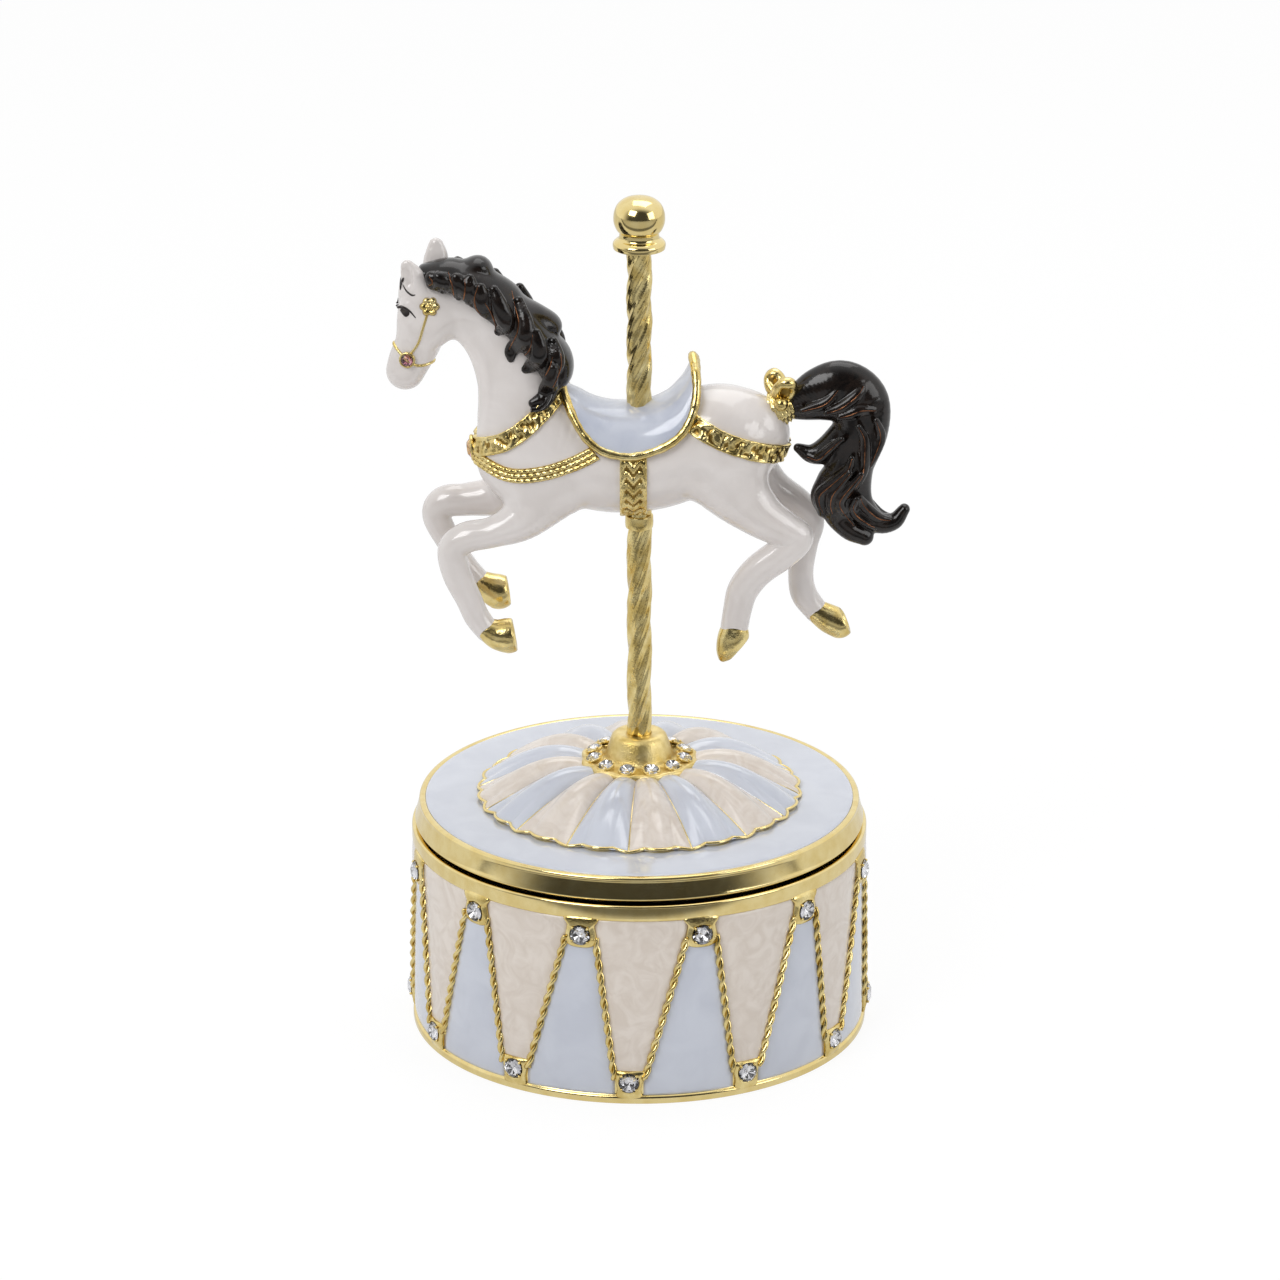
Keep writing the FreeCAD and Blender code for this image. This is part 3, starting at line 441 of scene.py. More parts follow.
class Clay:
    """A distance field on a grid in mm, FAR where empty; forms are joined to it or carved from it."""

    def __init__(self, low, high, pitch):
        self.low = np.array(low, float)
        self.pitch = pitch
        size = np.ceil((np.array(high) - self.low) / pitch).astype(int) + 1
        self.axes = [self.low[i] + pitch * np.arange(size[i]) for i in range(3)]
        self.field = np.full(size, FAR, np.float32)

    def window(self, form, margin):
        low, high = form.box(margin)
        cut = tuple(
            slice(max(int(np.searchsorted(axis, a)) - 1, 0), int(np.searchsorted(axis, b)) + 1)
            for axis, a, b in zip(self.axes, low, high)
        )
        x, y, z = (axis[c] for axis, c in zip(self.axes, cut))
        return cut, form.distance(x[:, None, None], y[None, :, None], z[None, None, :])

    def join(self, form, blend=0.5):
        cut, distance = self.window(form, blend + 1.0)
        self.field[cut] = soft_min(self.field[cut], distance, blend)
        return self

    def carve(self, form, blend=0.3):
        cut, distance = self.window(form, blend + 1.0)
        self.field[cut] = -soft_min(-self.field[cut], distance, blend)
        return self

    def mesh(self):
        grid = openvdb.FloatGrid(FAR)
        grid.copyFromArray(self.field)
        points, triangles, squares = grid.convertToPolygons(0.0, 0.0)
        faces = [tuple(f) for f in squares] + [tuple(f) for f in triangles]
        return points * self.pitch + self.low, faces

    def value(self, points):
        """The field at points, read between the grid's corners."""
        size = np.array(self.field.shape)
        at = np.clip((np.asarray(points) - self.low) / self.pitch, 0, size - 1.001)
        i = at.astype(int)
        f = at - i
        total = 0.0
        for dx in (0, 1):
            for dy in (0, 1):
                for dz in (0, 1):
                    weight = 1.0
                    for axis, d in enumerate((dx, dy, dz)):
                        weight = weight * (f[..., axis] if d else 1 - f[..., axis])
                    total = total + weight * self.field[i[..., 0] + dx, i[..., 1] + dy, i[..., 2] + dz]
        return total

    def slope(self, points):
        """Unit directions out of the clay."""
        step = 0.6 * np.eye(3)
        g = np.stack([self.value(points + s) - self.value(points - s) for s in step], -1)
        return g / (np.linalg.norm(g, axis=-1, keepdims=True) + 1e-9)

    def meet(self, lines):
        """The first point on each line of samples where the field changes sign."""
        value = self.value(lines)
        change = np.sign(value[..., 1:]) != np.sign(value[..., :-1])
        first = np.argmax(change, -1)
        found = np.any(change, -1)
        a = np.take_along_axis(value, first[..., None], -1)[..., 0]
        b = np.take_along_axis(value, first[..., None] + 1, -1)[..., 0]
        share = np.where(found, a / (a - b + 1e-12), 0.0)[..., None]
        index = first[..., None, None]
        start = np.take_along_axis(lines, index, -2)[..., 0, :]
        end = np.take_along_axis(lines, index + 1, -2)[..., 0, :]
        return start + (end - start) * share, found

    def side(self, places, toward=1.0, depth=12.0):
        """Where the clay is met at places of the side view, from the near side (1) or the far."""
        places = np.asarray(places, float)
        reach = np.linspace(-depth, 1.0, 160) * toward
        lines = np.empty(places.shape[:-1] + (len(reach), 3))
        lines[..., 0] = places[..., 0:1]
        lines[..., 1] = reach
        lines[..., 2] = places[..., 1:2]
        hit, found = self.meet(lines)
        hit[~found, 1] = -0.8 * toward
        return hit


def soft_min(a, b, blend):
    h = np.clip(0.5 + 0.5 * (b - a) / blend, 0, 1)
    return b + (a - b) * h - blend * h * (1 - h)


class Limb:
    """An oval carried along a line of the side view: rows of x, z, half depth, half width, y."""

    def __init__(self, rows, steps=6):
        self.rows = curve(rows, steps)
        self.rows[:, 2:4] = np.maximum(self.rows[:, 2:4], 0.05)

    def box(self, margin):
        r = self.rows
        reach = r[:, 2] + margin
        low = ((r[:, 0] - reach).min(), (r[:, 4] - r[:, 3]).min() - margin, (r[:, 1] - reach).min())
        high = ((r[:, 0] + reach).max(), (r[:, 4] + r[:, 3]).max() + margin, (r[:, 1] + reach).max())
        return low, high

    def distance(self, x, y, z):
        px, pz = x[:, 0, :], z[0, :, :]
        least = np.full(np.broadcast(px, pz).shape, 1e9)
        away = np.zeros_like(least)
        kept = np.zeros(least.shape + (3,))
        for a, b in zip(self.rows, self.rows[1:]):
            ux, uz = b[0] - a[0], b[1] - a[1]
            t = np.clip(((px - a[0]) * ux + (pz - a[1]) * uz) / (ux * ux + uz * uz + 1e-12), 0, 1)
            d = np.hypot(px - a[0] - t * ux, pz - a[1] - t * uz)
            gap = d - (a[2] + (b[2] - a[2]) * t)
            near = gap < least
            least[near] = gap[near]
            away[near] = d[near]
            kept[near] = (a[2:5] + (b - a)[2:5] * t[..., None])[near]
        depth, width, middle = (kept[:, None, :, i] for i in range(3))
        return oval(away[:, None, :], y - middle, depth, width)


def oval(across, sideways, depth, width):
    """About the distance to an oval."""
    a, b = across / depth, sideways / width
    k0 = np.sqrt(a * a + b * b)
    k1 = np.sqrt((a / depth) ** 2 + (b / width) ** 2)
    return (k0 * (k0 - 1) / (k1 + 1e-6)).astype(np.float32)


class Egg:
    """An ellipsoid, tilted in the side view by an angle in degrees."""

    def __init__(self, at, radii, tilt):
        self.at = np.array(at, float)
        self.radii = np.array(radii, float)
        self.tilt = math.radians(tilt)

    def box(self, margin):
        reach = np.array([max(self.radii[0], self.radii[2]), self.radii[1],
                          max(self.radii[0], self.radii[2])]) + margin
        return self.at - reach, self.at + reach

    def distance(self, x, y, z):
        u, v, w = x - self.at[0], y - self.at[1], z - self.at[2]
        c, s = math.cos(self.tilt), math.sin(self.tilt)
        p = (u * c + w * s, v, w * c - u * s)
        k0 = np.sqrt(sum((q / r) ** 2 for q, r in zip(p, self.radii)))
        k1 = np.sqrt(sum((q / r**2) ** 2 for q, r in zip(p, self.radii)))
        return (k0 * (k0 - 1) / (k1 + 1e-6)).astype(np.float32)


# Horse: rows of x, z, half depth, half width and y, with z from the middle of the barrel

TORSO = [(-23.2, 1.2, 3.2, 3.4, 0), (-21.6, 1.2, 6.2, 5.2, 0), (-17.0, 1.2, 10.4, 6.6, 0),
         (-10.0, 1.0, 9.7, 7.4, 0), (-4.0, 0.2, 9.7, 7.7, 0), (2.0, 0.3, 9.3, 7.7, 0),
         (8.7, 2.7, 9.5, 7.4, 0), (14.0, 3.7, 9.4, 7.1, 0), (18.4, 4.4, 7.4, 5.8, 0),
         (20.4, 5.2, 3.8, 3.6, 0)]
NECK = [(-18.5, 1.0, 8.0, 6.2, 0), (-20.0, 7.2, 7.5, 5.6, 0), (-20.7, 14.4, 7.0, 4.7, 0),
        (-23.4, 21.0, 6.2, 4.1, 0), (-27.4, 25.4, 5.5, 3.7, 0), (-32.6, 27.2, 4.8, 3.4, 0),
        (-35.0, 27.6, 3.8, 3.0, 0)]
HEAD = [(-36.4, 30.6, 2.6, 2.2, 0), (-36.4, 28.6, 4.2, 3.1, 0), (-36.7, 25.2, 4.5, 3.5, 0),
        (-37.6, 21.1, 3.9, 3.1, 0), (-39.1, 17.8, 3.6, 2.8, 0), (-39.9, 15.8, 3.3, 2.7, 0)]
NEAR_FORELEG = [(-15.0, -4.5, 5.5, 3.4, -3.4), (-20.0, -9.5, 3.8, 3.1, -4.2),
                (-25.0, -11.8, 2.7, 2.6, -4.5), (-29.6, -12.8, 2.7, 2.6, -4.5),
                (-32.0, -15.0, 2.6, 2.5, -4.5), (-31.4, -19.4, 2.5, 2.3, -4.5),
                (-29.4, -23.9, 2.3, 2.2, -4.5), (-28.0, -27.3, 2.2, 2.1, -4.5),
                (-26.2, -29.8, 2.1, 2.0, -4.5)]
FAR_FORELEG = [(-17.0, -2.0, 5.0, 3.4, 3.4), (-24.0, -7.8, 3.6, 3.0, 4.2), (-29.5, -9.0, 2.9, 2.7, 4.5),
               (-33.6, -9.5, 2.8, 2.6, 4.5), (-35.0, -12.0, 2.5, 2.4, 4.5), (-33.0, -16.6, 2.2, 2.2, 4.5),
               (-30.2, -21.0, 2.0, 2.0, 4.5), (-27.2, -24.6, 1.9, 1.9, 4.5)]
NEAR_HIND_LEG = [(13.0, 3.0, 8.0, 4.4, -2.8), (15.5, -3.0, 6.2, 4.2, -3.8), (20.2, -8.2, 4.2, 3.6, -4.4),
                 (24.4, -11.1, 3.3, 3.0, -4.5), (27.1, -12.8, 2.8, 2.6, -4.5),
                 (24.8, -15.4, 2.9, 2.6, -4.5), (20.4, -18.9, 2.8, 2.5, -4.5),
                 (17.9, -22.3, 2.7, 2.4, -4.5), (17.0, -25.6, 2.5, 2.3, -4.5),
                 (16.4, -29.2, 2.4, 2.2, -4.5)]
FAR_HIND_LEG = [(14.0, 4.0, 7.5, 4.4, 2.8), (17.5, -2.0, 5.6, 4.0, 3.8), (22.5, -6.8, 3.6, 3.2, 4.5),
                (27.2, -9.8, 2.8, 2.7, 4.5), (29.4, -12.8, 2.6, 2.5, 4.5), (28.5, -17.0, 2.5, 2.3, 4.5),
                (28.0, -22.4, 2.2, 2.1, 4.5), (28.6, -26.4, 2.3, 2.1, 4.5), (30.8, -29.6, 2.1, 2.0, 4.5)]
NEAR_EAR = [(-37.3, 30.6, 2.1, 1.6, -1.9), (-38.3, 33.1, 2.0, 1.3, -2.3), (-39.2, 35.1, 1.2, 0.8, -2.5)]
FAR_EAR = [(-34.8, 31.8, 2.3, 1.6, 1.9), (-34.5, 35.1, 2.1, 1.3, 2.3), (-34.5, 37.4, 1.3, 0.8, 2.5)]
LEGS = [NEAR_FORELEG, FAR_FORELEG, NEAR_HIND_LEG, FAR_HIND_LEG]
HOOVES = [
    [(-26.2, -29.7, 2.0, 2.2, -4.5), (-24.4, -30.6, 2.6, 2.6, -4.5), (-22.6, -30.8, 3.1, 2.8, -4.5)],
    [(-27.4, -24.2, 1.9, 2.2, 4.5), (-25.8, -25.3, 2.6, 2.6, 4.5), (-24.4, -26.0, 3.1, 2.8, 4.5)],
    [(16.4, -29.3, 2.2, 2.3, -4.5), (16.2, -31.2, 2.7, 2.6, -4.5), (15.2, -33.2, 1.9, 2.3, -4.5),
     (14.5, -34.6, 0.9, 1.5, -4.5)],
    [(30.8, -29.6, 2.0, 2.1, 4.5), (33.0, -31.0, 2.5, 2.5, 4.5), (34.8, -31.9, 2.6, 2.6, 4.5)],
]
SOLE_CUT = (3.2, (3.2, 5.5, 5.5), 0.25)
SOLE_HOLLOW = (0.2, (0.9, 1.7, 2.0), 0.2)
SOLES = [((-21.9, -30.4), 8), ((-22.9, -26.0), 10), ((17.3, -32.6), -42), ((35.6, -30.9), 18)]
HORSE_PITCH = 0.34
HOOF_PITCH = 0.22

# Swells and hollows: x, y, z, radii and tilt, then the blend where both sides have one

FOREHEAD = (-38.3, 0.0, 30.6, (2.3, 2.2, 2.8), -10)
SHOULDER = (-18.5, 3.6, 0.0, (6.0, 3.6, 8.0), 20, 2.5)
HAUNCH = (14.5, 4.2, 1.5, (7.0, 3.6, 8.0), -25, 2.5)
CHEEK = (-35.4, 1.9, 24.6, (3.6, 1.9, 3.8), 0, 1.6)
BROW = (-39.2, 2.4, 28.2, (1.9, 0.9, 0.9), 20, 1.2)
EYE_SOCKET = (-40.0, 3.5, 26.6, (1.5, 0.7, 1.0), 25, 1.0)
NOSTRIL = (-42.4, 2.3, 15.4, (0.55, 0.7, 0.4), 30, 0.5)
THROAT = (-30.4, 4.6, 22.4, (3.0, 1.2, 2.0), 40, 2.0)
CHEST_FURROW = (-27.5, 0.0, 0.4, (1.6, 0.7, 6.0), 12)
RUMP_FURROW = (21.6, 0.0, -1.0, (2.0, 0.9, 7.0), 20)


def limb(rows):
    """A limb from rows of the horse, raised to its place."""
    return Limb([(x, z + HORSE_Z, *rest) for x, z, *rest in rows])


def side_curve(line, steps, closed=False):
    """A smooth line of the horse's side view, raised to its place."""
    return curve(np.array(line) + [0, HORSE_Z], steps, closed)


def egg(x, y, z, radii, tilt):
    """An ellipsoid of the horse, raised to its place."""
    return Egg((x, y, z + HORSE_Z), radii, tilt)


def sculpt_horse():
    clay = Clay((-46, -11, 64), (42, 11, 145), HORSE_PITCH)
    clay.join(limb(TORSO), 0.5)
    clay.join(limb(NECK), 3.0)
    clay.join(limb(HEAD), 2.4)
    clay.join(egg(*FOREHEAD), 1.6)
    for leg in LEGS:
        clay.join(limb(leg), 2.2)
    for side in (-1, 1):
        for x, y, z, radii, tilt, blend in (SHOULDER, HAUNCH, CHEEK, BROW):
            clay.join(egg(x, side * y, z, radii, tilt), blend)
        for x, y, z, radii, tilt, blend in (EYE_SOCKET, NOSTRIL, THROAT):
            clay.carve(egg(x, side * y, z, radii, tilt), blend)
    clay.carve(egg(*CHEST_FURROW), 1.4)
    clay.carve(egg(*RUMP_FURROW), 1.6)
    for ear, side in ((NEAR_EAR, -1), (FAR_EAR, 1)):
        clay.join(limb(ear), 0.7)
        x, z, _, _, y = np.mean(np.array(ear), 0)
        clay.carve(egg(x - 0.9, y + side * 0.9, z + 0.6, (0.9, 0.6, 2.0), 8), 0.5)
    return clay


def build_horse():
    horse = sculpt_horse()
    obj = piece("horse_enamel", *horse.mesh(), "turntable", "white_enamel", WHITE)
    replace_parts(obj, "horse_body")
    hoof_clay = Clay((-32, -9, 64), (40, 9, 82), HOOF_PITCH)
    for hoof in HOOVES:
        hoof_clay.join(limb(hoof), 0.4)
    for hoof, ((x, z), lean) in zip(HOOVES, SOLES):
        out_x, out_z = math.cos(math.radians(lean)), math.sin(math.radians(lean))
        y = hoof[-1][4]
        for shift, radii, blend in (SOLE_CUT, SOLE_HOLLOW):
            hoof_clay.carve(egg(x + shift * out_x, y, z + shift * out_z, radii, lean), blend)
    obj = piece("gilt_hooves", *hoof_clay.mesh(), "turntable", "gold", CAST)
    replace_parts(obj, "hooves")
    return horse


# Drum

WALL_STEPS = 220
REPEATS = 12
STEP = 360 / REPEATS
UPPER = (15.5, 31.15)
LOWER = (-2.5, 4.15)
PANEL_LOW = 1.3
PANEL_HIGH = 34.0
PLATE_HALF = math.degrees(2.45 / WALL_RADIUS)
STONE_RADIUS = 1.75
STONE_OUT = 0.94
STONE_SEAT = 1.74
PRONG_REACH = 1.78
PRONG_ANGLES = np.radians((45, 135, 225, 315))
PRONG = ball(0.26, 8, 5)
FIELD_EDGE = 0.06
FIELD_SWELL = 0.3
FIELD_ROOT = -0.2
TIP_GAP = 0.6
UPPER_PLATE = [(2.9, 3.2), (2.5, 1.6), (2.75, 0.0), (2.95, -1.6), (1.7, -2.4), (0, -2.55), (-1.7, -2.4),
               (-2.95, -1.6), (-2.75, 0.0), (-2.5, 1.6), (-2.9, 3.2)]
LOWER_PLATE = [(-2.0, -3.2), (-2.1, -1.4), (-2.5, 0.4), (-2.9, 1.9), (-1.6, 2.1), (0, 2.0), (1.6, 2.1),
               (2.9, 1.9), (2.5, 0.4), (2.1, -1.4), (2.0, -3.2)]


def wall(degrees, z, out):
    """Points on or over the drum's wall."""
    a = np.radians(degrees)
    r = WALL_RADIUS + out
    return np.stack(np.broadcast_arrays(r * np.sin(a), -r * np.cos(a), z), -1)


def build_drum():
    shell = [(37.5, 0.0), (40.0, 0.0), (40.0, 1.3), (39.5, 1.6), (39.5, 33.8), (39.8, 34.0), (39.8, 36.7),
             (37.5, 36.7)]
    form = turned(softened(shell, 0.45), WALL_STEPS)
    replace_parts(piece("drum_casting", *form, "base", "gold", POLISHED, sharp=50), "drum_shell")
    build_panels()
    build_zigzag()
    build_wall_stones()


def build_panels():
    """Enamel fields between the wires, each a little proud of the wall in its middle."""
    rows, cols = 44, 22
    u = np.linspace(0, 1, cols)[None, :]
    for name, slot, finish, tip, wide in (
        ("pearl_fields", "cream_enamel", PEARL, LOWER, UPPER),
        ("blue_fields", "drum_enamel", BLUE, UPPER, LOWER),
    ):
        stock = Stock()
        for i in range(REPEATS):
            left = wide[0] + STEP * i + PLATE_HALF
            right = wide[0] + STEP * (i + 1) - PLATE_HALF
            middle = tip[0] + STEP * (i + (1 if tip[0] < wide[0] else 0))
            end = PANEL_HIGH if wide is UPPER else PANEL_LOW + 0.1
            stop = tip[1] + (TIP_GAP if wide is UPPER else -TIP_GAP)
            z = np.linspace(stop, end, rows)[:, None]
            share = np.clip((z - tip[1]) / (wide[1] - tip[1]), 0, 1)
            a = middle - PLATE_HALF + (left - middle + PLATE_HALF) * share
            b = middle + PLATE_HALF + (right - middle - PLATE_HALF) * share
            swell = (1 - np.abs(2 * u - 1) ** 5) * (1 - np.abs(2 * (z - stop) / (end - stop) - 1) ** 12)
            degrees = a + (b - a) * u
            top = wall(degrees, z, FIELD_EDGE + FIELD_SWELL * swell)
            stock.add(slab(top, wall(degrees, z, FIELD_ROOT)))
        stock.piece(name, "base", slot, finish)


def build_zigzag():
    """Two-stranded wire between the stones, and the plates that the stones sit in."""
    stock = Stock()
    pitch, apart, thick = 4.8, 0.34, 0.36
    s = np.linspace(0.02, 0.98, 120)
    for i in range(REPEATS):
        for lower, side in ((LOWER[0] + STEP * i, 1), (LOWER[0] + STEP * (i + 1), -1)):
            start = lower + side * PLATE_HALF
            end = UPPER[0] + STEP * i - side * PLATE_HALF
            run = np.array([math.radians(end - start) * WALL_RADIUS, UPPER[1] - LOWER[1]])
            length = np.linalg.norm(run)
            across = np.array([-run[1], run[0]]) / length
            for strand in (0, math.pi):
                turn = 2 * math.pi * s * length / pitch + strand
                shift = apart * np.cos(turn)
                degrees = start + (end - start) * s + np.degrees(shift * across[0] / WALL_RADIUS)
                z = LOWER[1] + (UPPER[1] - LOWER[1]) * s + shift * across[1]
                stock.add(tube(wall(degrees, z, thick + apart * np.sin(turn)), thick, 7))
    for (angle, height), outline in ((UPPER, UPPER_PLATE), (LOWER, LOWER_PLATE)):
        edge = curve(outline, 5, True)
        bearing = np.arctan2(edge[:, 1], edge[:, 0])
        seat = STONE_SEAT * np.stack([np.cos(bearing), np.sin(bearing)], -1)
        rings = np.array([0.0, 0.01, 0.15, 0.4, 0.7, 0.88, 1.0])[:, None, None]
        lift = np.array([0.0, 0.78, 0.82, 0.66, 0.56, 0.4, 0.0])[:, None] * np.ones(len(edge))
        flat = seat + (edge - seat) * rings
        faces = quads(len(rings), len(edge), True, True)
        for i in range(REPEATS):
            degrees = angle + STEP * i + np.degrees(flat[..., 0] / WALL_RADIUS)
            stock.add((wall(degrees, height + flat[..., 1], lift).reshape(-1, 3), faces))
            for prong in PRONG_ANGLES:
                sideways = math.degrees(PRONG_REACH * math.cos(prong) / WALL_RADIUS)
                at = wall(angle + STEP * i + sideways, height + PRONG_REACH * math.sin(prong), 1.0)
                stock.add(shifted(PRONG, at))
    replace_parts(stock.piece("twisted_wire", "base", "gold", CAST), "zigzag_wire")


def set_stones(name, places, radius, body, slot, crystal, mirror, *nodes):
    """Cut stones at places of (point, direction): the crown over a mirrored back."""
    points, crown, back = stone(radius, 0.36 * radius, 0.48 * radius)
    stock = Stock()
    for at, out in places:
        form = moved((points, crown), facing(out), at)
        stock.add(form, 0)
        stock.add((form[0], back), 1)
    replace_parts(stock.piece(name, body, slot, crystal, mirror, sharp=5), *nodes)


def build_wall_stones():
    for name, (angle, height), cad in (("upper_stones", UPPER, "upper_crystals"),
                                       ("lower_stones", LOWER, "lower_crystals")):
        degrees = [angle + STEP * i for i in range(REPEATS)]
        places = [(wall(d, height, STONE_OUT), round_wall(d)) for d in degrees]
        set_stones(name, places, STONE_RADIUS, "base", "crystal", CRYSTAL, SILVER, cad)


# Lid and rosette

FLUTES = 16
FIRST_FLUTE = 7.5
EDGE_RADIUS = 27.3
EDGE_Z = LID_TOP + 0.45
ROOT_RADIUS = 8.5
SCALLOP_DEPTH = 0.95
FLUTE_SWELL = 1.95
FLUTE_LIP = 0.45
FLUTE_WALL = 0.4
CREASE_START = 5
RIM_WIRE = 0.28
FOOT_SETBACK = 0.25


def build_lid():
    low, top = LID_Z, LID_TOP
    band = [(1.6, low), (38.8, low), (39.3, low + 0.35), (39.1, low + 0.9), (38.45, top - 0.75),
            (38.5, top - 0.3), (38.2, top), (37.5, top), (37.3, top - 0.25), (1.6, top - 0.25)]
    form = turned(softened(band, 0.3), WALL_STEPS)
    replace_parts(piece("lid_casting", *form, "turntable", "gold", POLISHED, sharp=50), "lid")
    field = [(26.0, top - 0.2), (37.42, top - 0.2), (37.3, top + 0.02), (36.4, top + 0.14), (32.0, top + 0.2),
             (27.0, top + 0.2), (26.0, top + 0.1)]
    piece("lid_field", *turned(softened(field, 0.5), WALL_STEPS), "turntable", "lid_enamel", BLUE)


def edge_radius(degrees):
    """The rosette's scalloped edge, two scallops to a flute."""
    wave = np.abs(np.sin(np.radians(degrees - FIRST_FLUTE) * FLUTES + math.pi / 2))
    return EDGE_RADIUS + SCALLOP_DEPTH * wave**0.8


def flute_height(share, across):
    """Height of a flute from its root (0) to the edge (1), across from -1 to 1."""
    crease = EDGE_Z + (FLANGE_Z - EDGE_Z) * (1 - share**1.7)
    swell = FLUTE_SWELL * np.sin(math.pi * np.clip(share, 0, 1) ** 0.85) + FLUTE_LIP * share
    return crease + swell * (1 - np.abs(across) ** 2.2)


def build_rosette():
    rows, cols = 30, 25
    step = 360 / FLUTES
    share = np.linspace(0, 1, rows)[:, None]
    across = np.linspace(-1, 1, cols)[None, :]
    stocks = [Stock(), Stock()]
    wires = Stock()
    for i in range(FLUTES):
        degrees = FIRST_FLUTE + step * i + across * step / 2
        outer = edge_radius(degrees)
        radius = ROOT_RADIUS + (outer - ROOT_RADIUS) * share
        z = flute_height(share, across) + 0 * radius
        a = np.radians(degrees) + 0 * share
        points = np.stack([radius * np.sin(a), -radius * np.cos(a), z], -1)
        under = points - [0, 0, FLUTE_WALL]
        stocks[i % 2].add(slab(points[:, ::-1], under[:, ::-1]))
        crease = points[CREASE_START:, 0] - [0, 0, 0.02]
        wires.add(tube(crease, np.linspace(0.06, 0.14, len(crease)), 6))
    for stock, name, slot, finish, cad in (
        (stocks[0], "pearl_flutes", "cream_enamel", PEARL, "cream_petals"),
        (stocks[1], "blue_flutes", "blue_enamel", BLUE, "blue_petals"),
    ):
        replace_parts(stock.piece(name, "turntable", slot, finish), cad)
    degrees = np.linspace(0, 360, 640, endpoint=False)
    a = np.radians(degrees)
    across = ((degrees - FIRST_FLUTE + step / 2) % step) / step * 2 - 1
    z = flute_height(1.0, across)
    r = edge_radius(degrees)
    rim = np.stack([r * np.sin(a), -r * np.cos(a), z], -1)
    wires.add(tube(rim, RIM_WIRE, 8, True))
    r = r - FOOT_SETBACK
    foot = np.stack([r * np.sin(a), -r * np.cos(a), LID_TOP + 0.05 + 0 * r], -1)
    inner = foot * [0.93, 0.93, 1.0]
    skirt = np.stack([rim, foot, inner, inner + [0, 0, 0.5]])
    wires.add((skirt.reshape(-1, 3), quads(4, len(a), True, True)[:, ::-1]))
    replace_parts(wires.piece("scalloped_rim", "turntable", "gold", POLISHED), "rosette_rim")


# Collar, pole and finial

POLE_RADIUS = 2.0
POLE_LOBES = 3
STRANDS_PER_LOBE = 4
CUFF_DROP = 11.4
COLLAR_STONES = 12
COLLAR_STONE_RADIUS = 1.4
COLLAR_CIRCLE = 8.25
STONE_LEAN = 0.35
COLLAR_PRONG_REACH = 1.36
CUP_RADIUS = 1.3
CUP_LOW = 1.2
CUP_HIGH = 0.66


def build_collar():
    top = COLLAR_TOP
    z = FLANGE_Z
    a = round_angles(192)
    scallop = 0.22 * np.cos(COLLAR_STONES * a + math.pi)
    profile = [(7.0, z - 0.7, 0), (9.6, z - 0.6, 1), (10.1, z - 0.1, 1), (10.15, z + 0.35, 1),
               (9.85, z + 0.75, 1), (9.2, z + 0.82, 0.5), (7.0, z + 0.8, 0), (6.2, z + 1.0, 0),
               (5.8, z + 1.6, 0), (5.35, z + 3.0, 0), (4.95, z + 4.2, 0), (4.65, z + 4.8, 0), (4.1, top, 0),
               (3.2, top + 0.06, 0), (2.1, top - 0.1, 0)]
    rows = curve(profile, 4)
    radius = rows[:, :1] + rows[:, 2:] * scallop
    points = np.stack([radius * np.cos(a), radius * np.sin(a), rows[:, 1:2] + 0 * radius], -1)
    stock = Stock().add((points.reshape(-1, 3), capped(len(rows), len(a), True)))
    places = []
    for i in range(COLLAR_STONES):
        out = round_wall((i + 0.5) * 360 / COLLAR_STONES)
        at = out * COLLAR_CIRCLE + [0, 0, z + 1.35]
        lean = out * STONE_LEAN + [0, 0, 1.0]
        places.append((at, lean))
        stock.add(tube(np.array([at - lean * CUP_LOW, at - lean * CUP_HIGH]), CUP_RADIUS, 16))
        turn = facing(lean)
        stock.add(moved(hoop(COLLAR_STONE_RADIUS, -0.12, 0.2), turn, at))
        for prong in PRONG_ANGLES:
            across, along = COLLAR_PRONG_REACH * math.cos(prong), COLLAR_PRONG_REACH * math.sin(prong)
            spot = turn @ np.array([across, along, 0.12])
            stock.add(shifted(PRONG, at + spot))
    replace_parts(stock.piece("sandy_collar", "turntable", "gold", SANDY), "pole_collar")
    set_stones("collar_stones", places, COLLAR_STONE_RADIUS, "turntable", "crystal", CRYSTAL, SILVER,
               "collar_crystals")


def twisted_bar(low, high, pitch, depth):
    """A cast bar with rounded lobes and fine strands that wind up to the right."""
    z = np.arange(low, high + 0.01, 0.35)[:, None]
    a = round_angles(72)[None, :]
    wind = a - 2 * math.pi * z / pitch
    ridge = np.abs(np.cos(POLE_LOBES * wind / 2)) ** 0.6
    strands = np.cos(POLE_LOBES * STRANDS_PER_LOBE * wind + 0.5 * np.sin(z * 0.31))
    uneven = np.sin(0.9 * z + 4 * np.sin(wind)) * np.cos(0.5 * z + 2 * wind)
    radius = POLE_RADIUS + depth * (ridge - 0.7) + 0.06 * strands + 0.04 * uneven
    points = np.stack([radius * np.cos(a), radius * np.sin(a), z + 0 * a], -1)
    return points.reshape(-1, 3), capped(*points.shape[:2])


